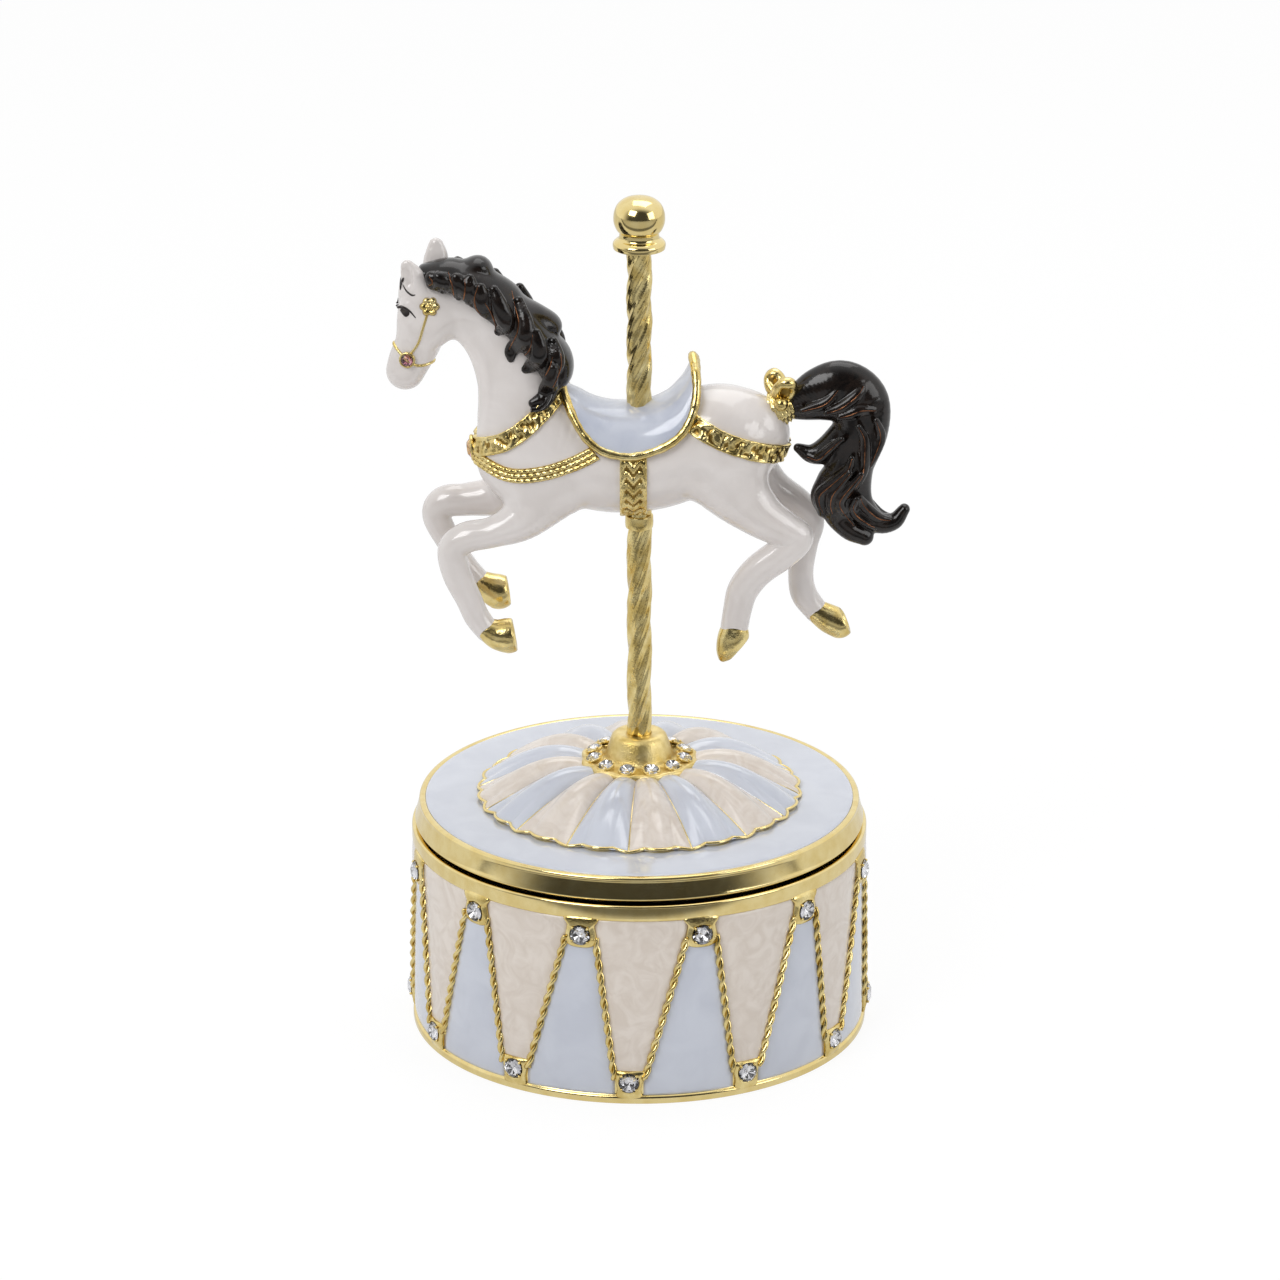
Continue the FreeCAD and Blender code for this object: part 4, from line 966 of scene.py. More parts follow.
def build_pole():
    low = Stock().add(twisted_bar(COLLAR_TOP - 1.0, HORSE_Z, pitch=34.0, depth=0.5))
    cuff = HORSE_Z - CUFF_DROP
    ring = [(1.9, cuff - 1.2), (2.35, cuff - 1.1), (2.45, cuff - 0.3), (2.4, cuff + 1.2), (1.9, cuff + 1.3)]
    low.add(turned(softened(ring, 0.2), 48))
    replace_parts(low.piece("lower_twist", "turntable", "gold", CAST), "lower_pole")
    high = Stock().add(twisted_bar(HORSE_Z, FINIAL_Z + 0.4, pitch=24.0, depth=0.6))
    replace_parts(high.piece("upper_twist", "turntable", "gold", CAST), "upper_pole")
    profile = [(0.05, 0.1), (3.9, 0.0), (4.45, 0.4), (4.45, 1.1), (4.0, 1.6), (3.55, 1.9), (3.4, 2.4),
               (3.45, 2.9), (3.9, 3.5), (4.3, 4.5), (4.4, 5.5), (4.25, 6.6), (3.7, 7.8), (2.6, 8.7),
               (1.3, 9.1), (0.05, 9.2)]
    knob = shifted(turned(curve(profile, 4), 96), (0, 0, FINIAL_Z))
    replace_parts(piece("finial_knob", *knob, "turntable", "gold", POLISHED), "finial")


# Hair: masses with locks laid over them, and worn copper lines along the locks

MANE = [(-36.2, 33.0, 1.3, 2.4, -0.5), (-33.5, 33.0, 2.2, 3.6, -0.6), (-28.8, 31.8, 3.2, 4.3, -0.7),
        (-23.8, 28.0, 3.5, 4.8, -0.7), (-19.0, 23.4, 3.4, 5.2, -0.6), (-15.8, 18.6, 2.8, 5.4, -0.5),
        (-14.8, 14.6, 1.6, 4.6, -0.5)]
MANE_CREST = [
    [(-36.4, 33.7, 1.2, 2.2, -0.4), (-33.6, 34.0, 1.7, 2.8, -0.4), (-31.2, 34.0, 1.8, 3.0, -0.3),
     (-29.6, 33.4, 1.4, 2.8, -0.2)],
    [(-31.0, 32.6, 1.7, 2.8, -0.2), (-28.7, 34.0, 1.8, 3.0, -0.1), (-26.9, 34.4, 1.7, 2.8, 0.0),
     (-25.3, 33.0, 0.9, 2.2, 0.2)],
    [(-29.4, 32.0, 2.2, 3.4, -0.2), (-25.6, 31.0, 2.5, 3.6, 0.0), (-22.4, 29.4, 2.1, 3.4, 0.2),
     (-20.4, 28.2, 1.1, 2.4, 0.4)],
    [(-24.4, 28.6, 2.2, 3.6, 0.2), (-20.6, 26.6, 2.5, 3.8, 0.3), (-17.2, 24.9, 2.3, 3.6, 0.5),
     (-15.0, 23.8, 1.8, 3.0, 0.7), (-14.2, 22.8, 0.8, 2.0, 0.8)],
    [(-20.0, 23.6, 2.4, 4.4, -0.3), (-16.6, 21.2, 2.6, 4.8, -0.4), (-14.0, 18.6, 2.5, 4.8, -0.4),
     (-13.2, 15.8, 1.9, 4.4, -0.4), (-14.2, 13.2, 0.9, 3.4, -0.4)],
]
MANE_LOCKS = [
    [(-35.2, 33.9), (-34.6, 33.0), (-35.2, 32.0)],
    [(-33.9, 34.0), (-33.2, 32.9), (-33.4, 30.9)],
    [(-30.9, 34.0), (-30.4, 32.4), (-30.6, 29.9)],
    [(-28.6, 33.8), (-28.8, 31.6), (-28.3, 29.0)],
    [(-26.8, 32.4), (-26.6, 29.6), (-25.6, 26.9)],
    [(-24.6, 31.8), (-23.4, 28.6), (-22.6, 25.8), (-24.2, 23.6)],
    [(-20.4, 29.4), (-19.2, 25.8), (-19.6, 23.0), (-21.6, 20.8), (-21.8, 19.2)],
    [(-17.4, 24.4), (-16.9, 21.0), (-18.0, 18.4), (-19.6, 17.2)],
    [(-14.6, 22.4), (-14.2, 19.0), (-15.4, 16.2)],
    [(-14.6, 18.4), (-15.4, 14.6), (-16.2, 12.4), (-18.6, 11.4)],
]
MANE_LINES = [
    [(-35.5, 34.2), (-34.9, 33.2), (-35.6, 32.2)],
    [(-32.3, 34.6), (-31.6, 33.0), (-31.3, 30.5)],
    [(-29.4, 34.0), (-29.4, 32.1), (-29.8, 29.5)],
    [(-27.1, 33.1), (-27.8, 30.8), (-27.5, 28.7), (-26.6, 27.5)],
    [(-26.1, 30.0), (-25.2, 28.2), (-24.4, 25.7), (-24.4, 24.2)],
    [(-21.6, 30.8), (-21.0, 28.7), (-20.4, 26.7), (-20.6, 24.7), (-21.3, 22.9), (-22.1, 21.1)],
    [(-18.0, 24.4), (-18.5, 21.6), (-19.5, 19.6), (-19.4, 18.3)],
    [(-14.7, 20.3), (-15.2, 18.6), (-16.1, 16.8)],
    [(-13.3, 20.9), (-13.2, 18.8), (-14.0, 16.5), (-14.7, 14.8)],
]
MANE_TUFT = [(-14.2, 14.6, 1.4, 4.4, -0.5), (-15.0, 12.4, 1.2, 5.6, -0.6), (-16.4, 10.9, 0.8, 6.0, -0.6),
             (-18.4, 10.5, 0.3, 6.0, -0.6)]
TAIL = [(25.6, 9.1, 1.9, 1.6, 0), (28.6, 10.6, 3.6, 2.6, 0), (31.6, 11.8, 4.8, 3.2, 0),
        (34.8, 12.0, 5.5, 3.5, 0), (37.6, 9.8, 5.2, 3.6, 0), (38.2, 5.0, 4.4, 3.5, 0),
        (36.6, -0.4, 3.9, 3.4, 0), (34.6, -5.4, 4.2, 3.4, 0), (33.8, -8.6, 2.4, 2.8, 0)]
TAIL_LOCKS = [
    [(36.4, 5.6, 3.0, 2.2, 0.0), (32.8, 2.0, 2.5, 2.1, 0.0), (29.8, 0.8, 1.7, 1.6, 0.0),
     (27.2, 1.9, 0.8, 0.8, 0.0)],
    [(33.6, -4.0, 2.4, 2.4, 0.4), (33.4, -9.0, 2.3, 2.3, 0.3), (36.0, -12.6, 2.0, 2.0, 0.0),
     (38.8, -14.2, 1.6, 1.6, 0.0)],
    [(37.4, -3.0, 2.4, 2.4, 0.2), (38.0, -8.0, 2.2, 2.3, 0.2), (40.8, -11.6, 1.9, 2.0, 0.3),
     (43.8, -11.6, 1.5, 1.6, 0.4), (45.6, -9.4, 1.0, 1.1, 0.4)],
    [(32.6, -4.0, 2.0, 2.0, -0.3), (30.8, -6.6, 1.4, 1.8, -0.4), (31.4, -9.6, 0.8, 1.2, -0.4)],
]
TAIL_RIDGES = [
    [(37.4, 7.2), (38.4, 5.0), (38.5, 2.2), (38.3, -1.2), (37.0, -4.0), (35.6, -6.0)],
    [(36.3, 1.5), (35.6, -0.7), (32.8, -3.7), (31.0, -5.7), (30.9, -7.5), (31.6, -9.4)],
    [(36.0, -1.2), (34.2, -3.7), (33.0, -5.7), (32.8, -7.7), (33.2, -9.2)],
    [(37.9, -1.5), (36.0, -4.0), (34.6, -6.0), (34.4, -7.5), (35.6, -9.9), (37.0, -11.9)],
    [(37.2, -6.2), (36.7, -8.0), (37.4, -9.7), (39.5, -11.4), (40.5, -12.0)],
    [(37.9, -6.0), (38.8, -8.0), (41.2, -10.4), (43.3, -11.0)],
    [(34.6, 4.6), (32.3, 2.2), (30.5, 0.4), (28.6, 0.8)],
    [(27.7, 9.7), (31.6, 10.9), (33.9, 13.4)],
    [(31.9, 9.5), (34.4, 10.4), (37.2, 12.6), (38.2, 14.0)],
    [(34.2, 8.7), (36.0, 9.2), (37.9, 9.9), (40.5, 9.6)],
    [(40.4, 8.2), (41.2, 5.0), (40.4, 1.8), (39.4, -1.0)],
]


HAIR_PITCH = 0.2
ROOT_DEPTH = 1.3


def locks_on(clay, lines, depth, blend, rise, skin=None):
    """Locks for both sides of a mass, and of the skin by it: thick in the middle, fine at the end, and
    with their roots in the mass."""
    for line in lines:
        path = side_curve(line, 5)
        share = np.linspace(0, 1, len(path))
        thick = depth * (0.25 + 0.95 * np.sin(math.pi * (0.15 + 0.78 * share))) / 1.2
        for toward in (1.0, -1.0):
            y = clay.side(path, toward)[:, 1] * toward
            if skin:
                y = np.minimum(y, skin.side(path, toward)[:, 1] * toward)
            y = y + rise - ROOT_DEPTH * (1 - share) ** 3
            rows = np.stack([path[:, 0], path[:, 1], thick, thick * 0.8, y * toward], -1)
            yield Limb(rows[::2], 3), blend


def lay(clay, forms):
    """Join forms that are all placed before the first of them changes the clay."""
    for form, blend in list(forms):
        clay.join(form, blend)


def copper_lines(stock, clay, lines, radius):
    """Worn lines on both sides of the clay, thin at their ends."""
    for line in lines:
        path = side_curve(line, 7)
        for toward in (1.0, -1.0):
            hit = clay.side(path, toward)
            smooth = hit.copy()
            smooth[1:-1] = (hit[:-2] + 2 * hit[1:-1] + hit[2:]) / 4
            share = np.linspace(0, 1, len(path))
            stock.add(tube(smooth, radius * (0.35 + 0.65 * np.sin(math.pi * share)), 6), 1)


def build_hair(horse):
    mane = Clay((-40, -9, 112), (-9, 9, 143), HAIR_PITCH)
    mane.join(limb(MANE), 0.5)
    for rows in MANE_CREST:
        mane.join(limb(rows), 0.6)
    lay(mane, locks_on(mane, MANE_LOCKS, 1.6, 0.35, 0.05, horse))
    mane.join(limb(MANE_TUFT), 0.4)
    stock = Stock().add(mane.mesh())
    copper_lines(stock, mane, MANE_LINES, 0.14)
    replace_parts(stock.piece("mane_locks", "turntable", "black_enamel", BLACK, COPPER), "mane")
    tail = Clay((22, -6, 85), (49, 6, 124), HAIR_PITCH)
    tail.join(limb(TAIL), 0.5)
    for rows in TAIL_LOCKS:
        tail.join(limb(rows), 0.8)
    lay(tail, locks_on(tail, TAIL_RIDGES, 1.0, 0.25, 0.25))
    stock = Stock().add(tail.mesh())
    copper_lines(stock, tail, TAIL_RIDGES, 0.11)
    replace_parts(stock.piece("tail_locks", "turntable", "black_enamel", BLACK, COPPER), "tail")


# Harness

SADDLE_EDGE = [(-13.4, 14.6, 0.0), (-12.9, 13.0, 2.6), (-11.6, 10.0, 5.6), (-9.6, 6.8, 7.4),
               (-7.4, 4.7, 8.1), (-5.0, 3.6, 8.4), (-1.6, 3.1, 8.5), (1.8, 3.8, 8.4),
               (5.2, 5.3, 8.2), (7.6, 7.4, 7.8),
               (9.0, 10.0, 7.0), (9.7, 12.7, 5.9), (9.8, 15.6, 4.4), (9.5, 17.6, 2.6), (9.2, 18.8, 0.0)]
SADDLE_MIDDLE = [(-13.4, 14.6), (-12.0, 13.2), (-10.1, 12.2), (-8.4, 11.2), (-6.7, 10.6), (-4.8, 10.2),
                 (-2.4, 10.1), (0.4, 10.2), (2.8, 10.9), (4.8, 12.0), (6.2, 13.4), (7.4, 14.9), (8.3, 16.6),
                 (8.9, 17.9), (9.2, 18.8)]
SADDLE_TIP = 0.05
SADDLE_WALL = 0.75
BEAD_RADIUS = 0.8
BEAD_DEPTH = 0.3


def build_saddle():
    edge = curve(SADDLE_EDGE, 8)
    middle = curve(SADDLE_MIDDLE, 8)
    cols = 33
    b = np.linspace(-1, 1, cols)[None, :]
    bow = np.sin(b * math.pi / 2)
    drop = 1 - np.cos(b * math.pi / 2)
    x = middle[:, :1] + (edge[:, :1] - middle[:, :1]) * drop
    z = middle[:, 1:2] + (edge[:, 1:2] - middle[:, 1:2]) * drop
    y = np.maximum(edge[:, 2:3], SADDLE_TIP) * bow
    top = np.stack([x, y, z + HORSE_Z], -1)
    run, across = np.gradient(top, axis=0), np.gradient(top, axis=1)
    out = np.cross(across, run)
    out /= np.linalg.norm(out, axis=-1, keepdims=True) + 1e-9
    if out[len(out) // 2, cols // 2, 2] < 0:
        out = -out
    out[0], out[-1] = out[1], out[-2]
    under = top - out * SADDLE_WALL
    obj = piece("saddle_shell", *slab(top, under), "turntable", "saddle_enamel", SADDLE)
    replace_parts(obj, "saddle")
    near, far = (top[:, i] - out[:, i] * BEAD_DEPTH for i in (0, -1))
    border = np.vstack([near, far[::-1][1:-1]])
    count = np.arange(len(border))
    wobble = 1 + 0.08 * np.sin(count * 0.9) * np.cos(count * 0.37)
    obj = piece("saddle_bead", *tube(border, BEAD_RADIUS * wobble, 10, True), "turntable", "gold", CAST)
    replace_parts(obj, "saddle_piping")


# Faces whose relief is lower than this take the darker gold: painted shade in the recesses.
RECESS = 0.3
RUN_OUT = 20
STRAP_ROOT = 0.35


def run_length(path):
    """The length of a path up to each of its points."""
    return np.concatenate([[0], np.cumsum(np.linalg.norm(np.diff(path, axis=0), axis=1))])


def strap(clay, line, start, spread, half, relief, steps=260, cols=19, closed=False):
    """A band round the horse. The line is its middle in the side view; rays fan out over the sheet
    that the line makes across the horse, from a start on the line, and end at the skin."""
    rail = side_curve(line, 12)
    ahead, behind = rail[-1] - rail[-2], rail[0] - rail[1]
    rail = np.vstack([rail[0] + behind / np.linalg.norm(behind) * RUN_OUT, rail,
                      rail[-1] + ahead / np.linalg.norm(ahead) * RUN_OUT])
    length = run_length(rail)
    run = np.gradient(rail, axis=0)
    run /= np.linalg.norm(run, axis=1, keepdims=True)
    w = np.linspace(-1, 1, cols)
    angle = np.radians(np.linspace(-spread, spread, steps, endpoint=not closed))
    reach = np.linspace(0.2, 16, 110)
    u = RUN_OUT + start + reach[None, None] * np.cos(angle)[:, None, None]
    lines = np.empty((steps, cols, len(reach), 3))
    nx, nz = -np.interp(u, length, run[:, 1]), np.interp(u, length, run[:, 0])
    lines[..., 0] = np.interp(u, length, rail[:, 0]) + nx * w[None, :, None] * half
    lines[..., 2] = np.interp(u, length, rail[:, 1]) + nz * w[None, :, None] * half
    lines[..., 1] = reach[None, None] * np.sin(angle)[:, None, None]
    skin, _ = clay.meet(lines)
    out = clay.slope(skin)
    s = run_length(skin[:, cols // 2])
    height = relief(s[:, None] - s[steps // 2], w[None, :])
    top = skin + out * height[..., None]
    points, faces = slab(top, skin - out * STRAP_ROOT, closed)
    # Recessed faces get the second material, the darker gold: painted shade.
    level = np.concatenate([height, np.ones_like(height)], 1).ravel()
    ids = [int(level[list(face)].mean() < RECESS) for face in faces]
    return points, faces, ids


def edges_of(w):
    """The raised edges of a band."""
    return np.clip((np.abs(w) - 0.7) / 0.15, 0, 1) * np.clip((1.02 - np.abs(w)) / 0.1, 0, 1)


def scrolls(s, w):
    """Height in mm of embossed leaves and curls between raised edges."""
    curl = np.sin(2.2 * s + 1.6 * np.sin(3.4 * w + 0.6)) + 0.8 * np.sin(3.6 * w + 1.9 * np.sin(1.35 * s))
    bud = 0.7 * np.sin(4.7 * s - 2.6 * w + 1.4 * np.sin(2.1 * s))
    field = 0.22 + 0.34 * np.clip(0.45 * (curl + bud) + 0.55, 0, 1)
    return field + (0.58 - field) * edges_of(w)


def chevrons(s, w):
    """Height in mm of zigzag ribs between raised edges."""
    fold = np.abs((w + 1) % 1.0 - 0.5) * 2
    ribs = np.sin(2.9 * (np.abs(s) + 1.6 * fold))
    field = 0.24 + 0.32 * np.clip(1.6 * ribs + 0.5, 0, 1)
    return field + (0.6 - field) * edges_of(w)


def corded(s, w):
    """Height in mm of a band of three cords."""
    cords = np.abs(np.cos(1.5 * math.pi * w))
    twist = 0.1 * np.sin(5.5 * s + 4.0 * w)
    return 0.2 + 0.34 * cords**0.7 + twist * cords


def thin_cord(s, w):
    """Height in mm of a round cord with a fine twist."""
    return 0.26 * np.sqrt(np.clip(1 - w * w, 0, 1)) + 0.03 * np.sin(9 * s)


CHEST_LINE = [(-12.6, 13.9), (-16.9, 9.6), (-22.0, 5.6), (-27.2, 3.2)]
SHOULDER_LINE = [(-6.0, 4.2), (-11.8, 1.2), (-16.9, -0.2), (-22.0, -0.6), (-26.5, 0.6)]
GIRTH_LINE = [(-1.0, 9.0), (-1.0, 0.0), (-1.0, -9.0)]
RUMP_LINE = [(8.0, 8.9), (12.0, 6.8), (15.5, 5.2), (23.0, 2.4)]
NOSE_LINE = [(-44.0, 22.6), (-41.6, 20.6), (-39.4, 18.6), (-37.4, 17.5), (-34.0, 17.9)]
CHEEK_LINE = [(-35.6, 28.2), (-36.6, 24.8), (-37.6, 21.6), (-39.2, 19.2)]
FLOWER = (-35.5, 28.4)
CHEEK_STONE = (-39.4, 18.7)
CHEEK_STONE_RADIUS = 1.15
CHEEK_CORD = 0.22
CHEST_STONE = (-28.7, 0.0, HORSE_Z + 1.9)


def build_harness(horse):
    for name, cad, line, start, spread, half, relief in (
        ("chest_band", "breast_collar", CHEST_LINE, 8.0, 158, 1.5, scrolls),
        ("shoulder_band", "breast_strap", SHOULDER_LINE, 11.0, 142, 1.3, corded),
        ("girth_band", "girth_strap", GIRTH_LINE, 9.0, 116, 2.3, chevrons),
        ("rump_band", "breeching_strap", RUMP_LINE, 8.5, 146, 1.6, scrolls),
    ):
        points, faces, ids = strap(horse, line, start, spread, half, relief)
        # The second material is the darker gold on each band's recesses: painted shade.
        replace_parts(piece(name, points, faces, "turntable", "gold", CAST, SHADE_GOLD, ids=ids), cad)
    build_bridle(horse)


def petals(radius, lift):
    """A small cast flower facing +Z."""
    rings = np.linspace(0.02, 1, 8)
    a = round_angles(60)
    reach = radius * (0.8 + 0.2 * np.abs(np.cos(3 * a)))
    rise = np.array([1.0, 0.95, 0.62, 0.55, 0.7, 0.72, 0.5, 0.0])
    points = []
    for ring, z in zip(rings, rise):
        fold = 1 - 0.35 * ring * (1 - np.abs(np.cos(3 * a)))
        points.append(np.stack([ring * reach * np.cos(a), ring * reach * np.sin(a), lift * z * fold], -1))
    return np.vstack(points), capped(len(rings), len(a))


def on_skin(clay, x, z, toward):
    """A point of the skin, and the direction out of it, at a place of the side view."""
    at = clay.side(np.array([[x, z + HORSE_Z]]), toward)
    return at[0], clay.slope(at)[0]


def build_bridle(horse):
    points, faces, _ = strap(horse, NOSE_LINE, 5.6, 180, 0.26, thin_cord, 120, 7, True)
    stock = Stock().add((points, faces))
    gems = []
    for toward in (1.0, -1.0):
        stock.add(tube(horse.side(side_curve(CHEEK_LINE, 8), toward), CHEEK_CORD, 8))
        at, out = on_skin(horse, *FLOWER, toward)
        stock.add(moved(petals(1.75, 0.9), facing(out), at - out * 0.1))
        stock.add(shifted(ball(0.4), at + out * 0.75))
        at, out = on_skin(horse, *CHEEK_STONE, toward)
        stock.add(moved(hoop(1.2, 0.35, 0.24), facing(out), at))
        gems.append((at + out * 0.5, out))
    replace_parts(stock.piece("bridle_cords", "turntable", "gold", CAST), "bridle")
    set_stones("rose_stones", gems, CHEEK_STONE_RADIUS, "turntable", "pink_crystal", PINK, ROSE_FOIL,
               "pink_crystals")
    build_chest_stone()


def build_chest_stone():
    """The larger stone on the chest, in its own bezel."""
    turn = facing((-1.0, 0.0, -0.12))
    points, crown, back = stone(1.9, 0.8, 1.1)
    form = moved((points, crown), turn, CHEST_STONE)
    stock = Stock().add(form, 0).add((form[0], back), 1)
    stock.add(moved(hoop(2.0, -0.15, 0.38, 32), turn, CHEST_STONE), 2)
    stock.piece("chest_stone", "turntable", "pink_crystal", PINK, ROSE_FOIL, CAST, sharp=25)


FAR_LOOP = [(23.8, 11.0), (22.4, 12.4), (22.2, 13.6), (23.2, 14.4), (24.3, 13.6), (24.2, 12.0)]
NEAR_LOOP = [(23.8, 11.0), (23.4, 12.8), (24.2, 14.2), (25.6, 14.4), (26.3, 13.2), (25.2, 11.2)]


def build_bow():
    """A ribbon round the tail's root: a rough knot under two rounded loops."""
    stock = Stock()
    knot = curve([(22.4, 8.7, 2.3), (23.6, 9.0, 3.0), (24.9, 9.5, 2.8), (26.2, 10.0, 2.2)], 6)
    a = round_angles(40)
    rough = 1 + 0.08 * np.sin(5 * a + 2 * np.arange(len(knot))[:, None]) + 0.05 * np.cos(9 * a)
    radius = knot[:, 2:3] * rough
    lean = math.radians(24)
    points = np.stack([knot[:, :1] - radius * math.sin(lean) * np.sin(a), 0.95 * radius * np.cos(a),
                       knot[:, 1:2] + HORSE_Z + radius * math.cos(lean) * np.sin(a)], -1)
    stock.add((points.reshape(-1, 3), capped(len(knot), len(a))))
    for loop, start, end in ((FAR_LOOP, 0.4, 2.6), (NEAR_LOOP, -0.6, -2.8)):
        path = curve(np.array([(x, 0.0, z + HORSE_Z) for x, z in loop]), 8)
        path[:, 1] = start + (end - start) * np.sin(np.linspace(0, math.pi, len(path)))
        thick = 0.95 + 0.1 * np.sin(np.arange(len(path)) * 0.35)
        stock.add(tube(path, thick, 10))
        # A flattened ball of darker gold fills each loop: painted shade inside the loop.
        stock.add(moved(ball(1.5), np.diag([0.9, 0.35, 1.1]), path.mean(0)), 1)
    for y in (-2.4, 2.4):
        stock.add(shifted(ball(1.3), (24.2, y, HORSE_Z + 10.6)))
    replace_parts(stock.piece("tail_ribbon", "turntable", "gold", CAST, SHADE_GOLD), "tail_bow")


# Painted face

PAINT_RISE = 0.07
PAINT_ROOT = 0.15
EYE = [(-40.5, 27.6), (-39.8, 27.9), (-39.1, 27.4), (-39.0, 26.7), (-39.6, 26.2), (-40.2, 26.7)]
STROKES = [
    ([(-41.3, 27.6), (-40.5, 28.1), (-39.4, 27.8), (-37.9, 26.4)], 0.27),
    ([(-39.9, 33.2), (-40.3, 31.9), (-40.5, 30.6)], 0.3),
    ([(-40.0, 31.9), (-39.4, 30.9), (-38.5, 30.3), (-37.9, 30.4)], 0.2),
]


def patch(clay, outline, toward):
    """A painted spot on the skin, from a star-shaped outline of the side view."""
    edge = side_curve(outline, 5, True)
    middle = edge.mean(0)
    rings = np.linspace(0.02, 1, 7)[:, None, None]
    places = middle + (edge - middle)[None] * rings
    skin = clay.side(places.reshape(-1, 2), toward)
    out = clay.slope(skin)
    rim = (skin - out * PAINT_ROOT)[-len(edge):]
    return np.vstack([skin + out * PAINT_RISE, rim]), capped(len(rings) + 1, len(edge))


def build_face(horse):
    stock = Stock()
    for toward in (1.0, -1.0):
        stock.add(patch(horse, EYE, toward))
        for line, radius in STROKES:
            path = horse.side(side_curve(line, 8), toward)
            share = np.linspace(0, 1, len(path))
            stock.add(tube(path, radius * (0.25 + 0.75 * np.sin(math.pi * (0.1 + 0.85 * share))), 6))
    stock.piece("painted_eyes", "turntable", "black_enamel", PAINT)


# Underside

SCREW_CIRCLE = 24
SCREW_HEAD = [(0.05, -1.05), (1.1, -1.0), (1.6, -0.7), (1.7, 0.0), (0.05, 0.0)]
SLOT_LINE = [(-1.3, 0, -1.06), (1.3, 0, -1.06)]


def build_underside():
    nodes = frame["nodes"]
    for name, finish in (("base_plate", BASE_METAL), ("movement_case", PLASTIC), ("winding_arbor", STEEL),
                         ("winding_key", BASE_METAL), ("drive_spindle", STEEL), ("turntable_hub", STEEL)):
        mesh = nodes[name].data
        mesh.materials.clear()
        mesh.materials.append(finish)
    plate_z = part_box("base_plate")[0].z / MM
    stock = Stock()
    head = turned(softened(SCREW_HEAD, 0.3), 32)
    for angle in (30, 150, 270):
        at = round_wall(angle) * SCREW_CIRCLE + [0, 0, plate_z]
        stock.add(shifted(head, at))
        # The slot is a bar of dark case plastic across the head: painted shade standing for the groove.
        stock.add(tube(SLOT_LINE + at, 0.16, 6), 1)
    stock.piece("plate_screws", "base", "steel", STEEL, PLASTIC)


# Stage, in m

FLOOR_HALF = 6.0
FLOOR_GLOW = 0.85
TABLE_END = -0.1
ROOM_START = -0.2
CAMERA_AT = Vector((0.00013, -1.0063, 0.4482))
CAMERA_AIM = Vector((0.00013, 0, 0.070))
LAMP_AIM = Vector((0, 0, 0.07))
PHOTO_HALF_WIDTH = 640
FOCAL_PIXELS = 6200


def build_stage():
    scene = bpy.context.scene
    scene.view_settings.view_transform = "Standard"
    h = FLOOR_HALF
    mesh = bpy.data.meshes.new("floor")
    mesh.from_pydata([(-h, -h, 0), (h, -h, 0), (h, h, 0), (-h, h, 0)], [], [(0, 1, 2, 3)])
    floor = bpy.data.objects.new("floor", mesh)
    scene.collection.objects.link(floor)
    mesh.materials.append(pale_floor())
    scene.world = bpy.data.worlds.new("studio")
    scene.world.use_nodes = True
    studio_world(Wiring(scene.world.node_tree))
    lamp("key", (-0.55, -0.75, 0.85), 0.6, 6.2)
    lamp("fill", (0.8, -0.5, 0.45), 0.5, 1.9)
    lamp("top", (0.1, 0.35, 1.0), 0.7, 2.6)
    camera = placed("camera", bpy.data.cameras.new("camera"), CAMERA_AT, CAMERA_AIM)
    camera.data.angle = 2 * math.atan(PHOTO_HALF_WIDTH / FOCAL_PIXELS)
    camera.data.clip_start = 0.01
    scene.camera = camera


def placed(name, data, at, aim):
    """A lamp or camera at a place, turned to what it aims at."""
    obj = bpy.data.objects.new(name, data)
    obj.location = at
    obj.rotation_euler = (aim - Vector(at)).to_track_quat("-Z", "Y").to_euler()
    bpy.context.scene.collection.objects.link(obj)
    return obj


def lamp(name, at, size, power):
    light = bpy.data.lights.new(name, "AREA")
    light.size = size
    light.energy = power
    placed(name, light, at, LAMP_AIM)


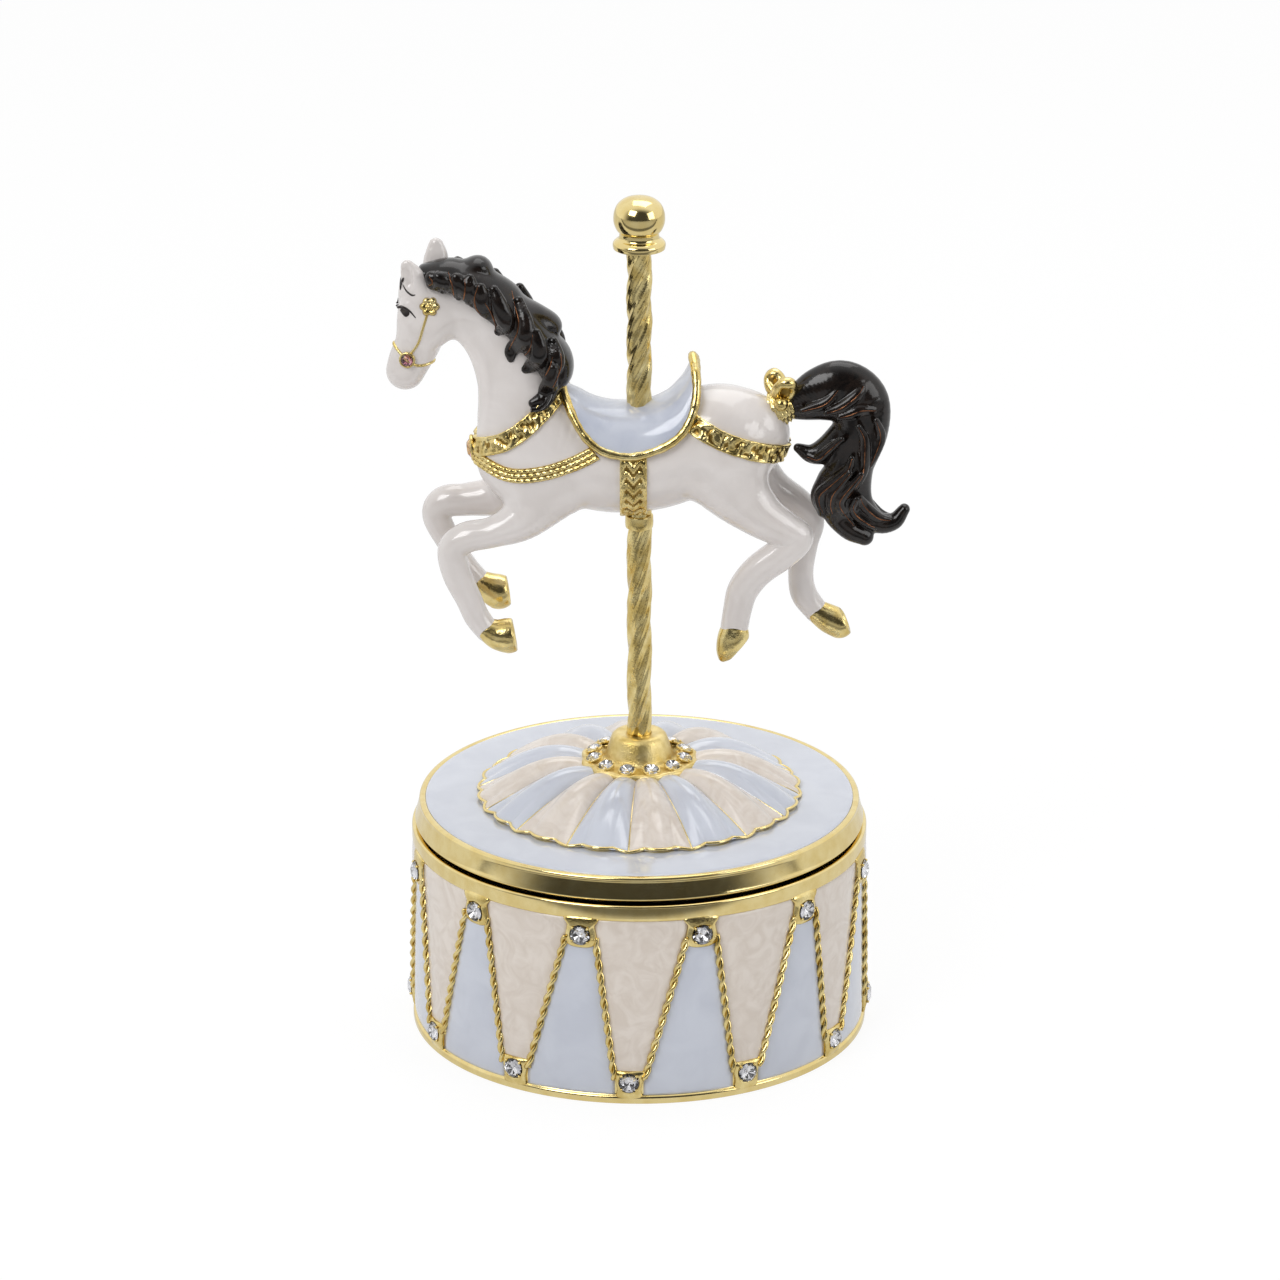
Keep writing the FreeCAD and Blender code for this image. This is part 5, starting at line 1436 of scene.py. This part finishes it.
class Wiring:
    """The nodes of a floor or world, with what both of them need."""

    def __init__(self, tree):
        self.nodes = tree.nodes
        self.link = tree.links.new
        self.rays = self.nodes.new("ShaderNodeLightPath").outputs

    def reckon(self, operation, first, second):
        """A math node on a socket and a second socket or a number."""
        node = self.nodes.new("ShaderNodeMath")
        node.operation = operation
        self.link(first, node.inputs[0])
        if isinstance(second, float):
            node.inputs[1].default_value = second
        else:
            self.link(second, node.inputs[1])
        return node.outputs[0]

    def ramp(self, value, start, end, low, high, kind="SMOOTHSTEP"):
        """From low to high while the value goes from start to end."""
        node = self.nodes.new("ShaderNodeMapRange")
        node.interpolation_type = kind
        for socket, number in (("From Min", start), ("From Max", end), ("To Min", low), ("To Max", high)):
            node.inputs[socket].default_value = number
        self.link(value, node.inputs["Value"])
        return node.outputs["Result"]

    def depth(self, place):
        """The Y of a place."""
        split = self.nodes.new("ShaderNodeSeparateXYZ")
        self.link(place, split.inputs["Vector"])
        return split.outputs["Y"]

    def seen(self):
        """1 for rays of the camera, of mirrors and of glass."""
        total = self.rays["Is Camera Ray"]
        for name in ("Is Glossy Ray", "Is Transmission Ray"):
            total = self.reckon("MAXIMUM", total, self.rays[name])
        return total


def pale_floor():
    """A pale floor that the camera sees nearly white, with its shadow kept faint. In mirrors a strip in
    front of the object is dark, as between a photographer's white table and the room."""
    material = bpy.data.materials.new("pale_floor")
    material.use_nodes = True
    wiring = Wiring(material.node_tree)
    nodes = wiring.nodes
    shader = nodes["Principled BSDF"]
    shader.inputs["Base Color"].default_value = (0.86, 0.86, 0.86, 1)
    shader.inputs["Roughness"].default_value = 0.9
    depth = wiring.depth(nodes.new("ShaderNodeNewGeometry").outputs["Position"])
    table = wiring.ramp(depth, TABLE_END - 0.03, TABLE_END, 0.05, 0.8)
    room = wiring.ramp(depth, ROOM_START - 0.05, ROOM_START, 0.5, 0.05)
    mirrored = wiring.reckon("MAXIMUM", table, room)
    watched = wiring.reckon("MULTIPLY", wiring.rays["Is Camera Ray"], 1.05)
    glow = nodes.new("ShaderNodeEmission")
    wiring.link(wiring.reckon("MAXIMUM", mirrored, watched), glow.inputs["Strength"])
    mix = nodes.new("ShaderNodeMixShader")
    wiring.link(wiring.reckon("MULTIPLY", wiring.seen(), FLOOR_GLOW), mix.inputs["Fac"])
    wiring.link(shader.outputs["BSDF"], mix.inputs[1])
    wiring.link(glow.outputs["Emission"], mix.inputs[2])
    wiring.link(mix.outputs["Shader"], nodes["Material Output"].inputs["Surface"])
    return material


def studio_world(wiring):
    """A white sweep behind the object, and a dimmer room behind the camera."""
    nodes = wiring.nodes
    background = nodes["Background"]
    depth = wiring.depth(nodes.new("ShaderNodeTexCoord").outputs["Generated"])
    wiring.link(wiring.ramp(depth, -0.75, -0.1, 0.06, 1.0), background.inputs["Color"])
    level = wiring.ramp(wiring.seen(), 0.0, 1.0, 0.55, 1.0, "LINEAR")
    wiring.link(level, background.inputs["Strength"])


build_stage()
build_drum()
build_lid()
build_rosette()
build_collar()
build_pole()
horse = build_horse()
build_hair(horse)
build_saddle()
build_harness(horse)
build_bow()
build_face(horse)
build_underside()
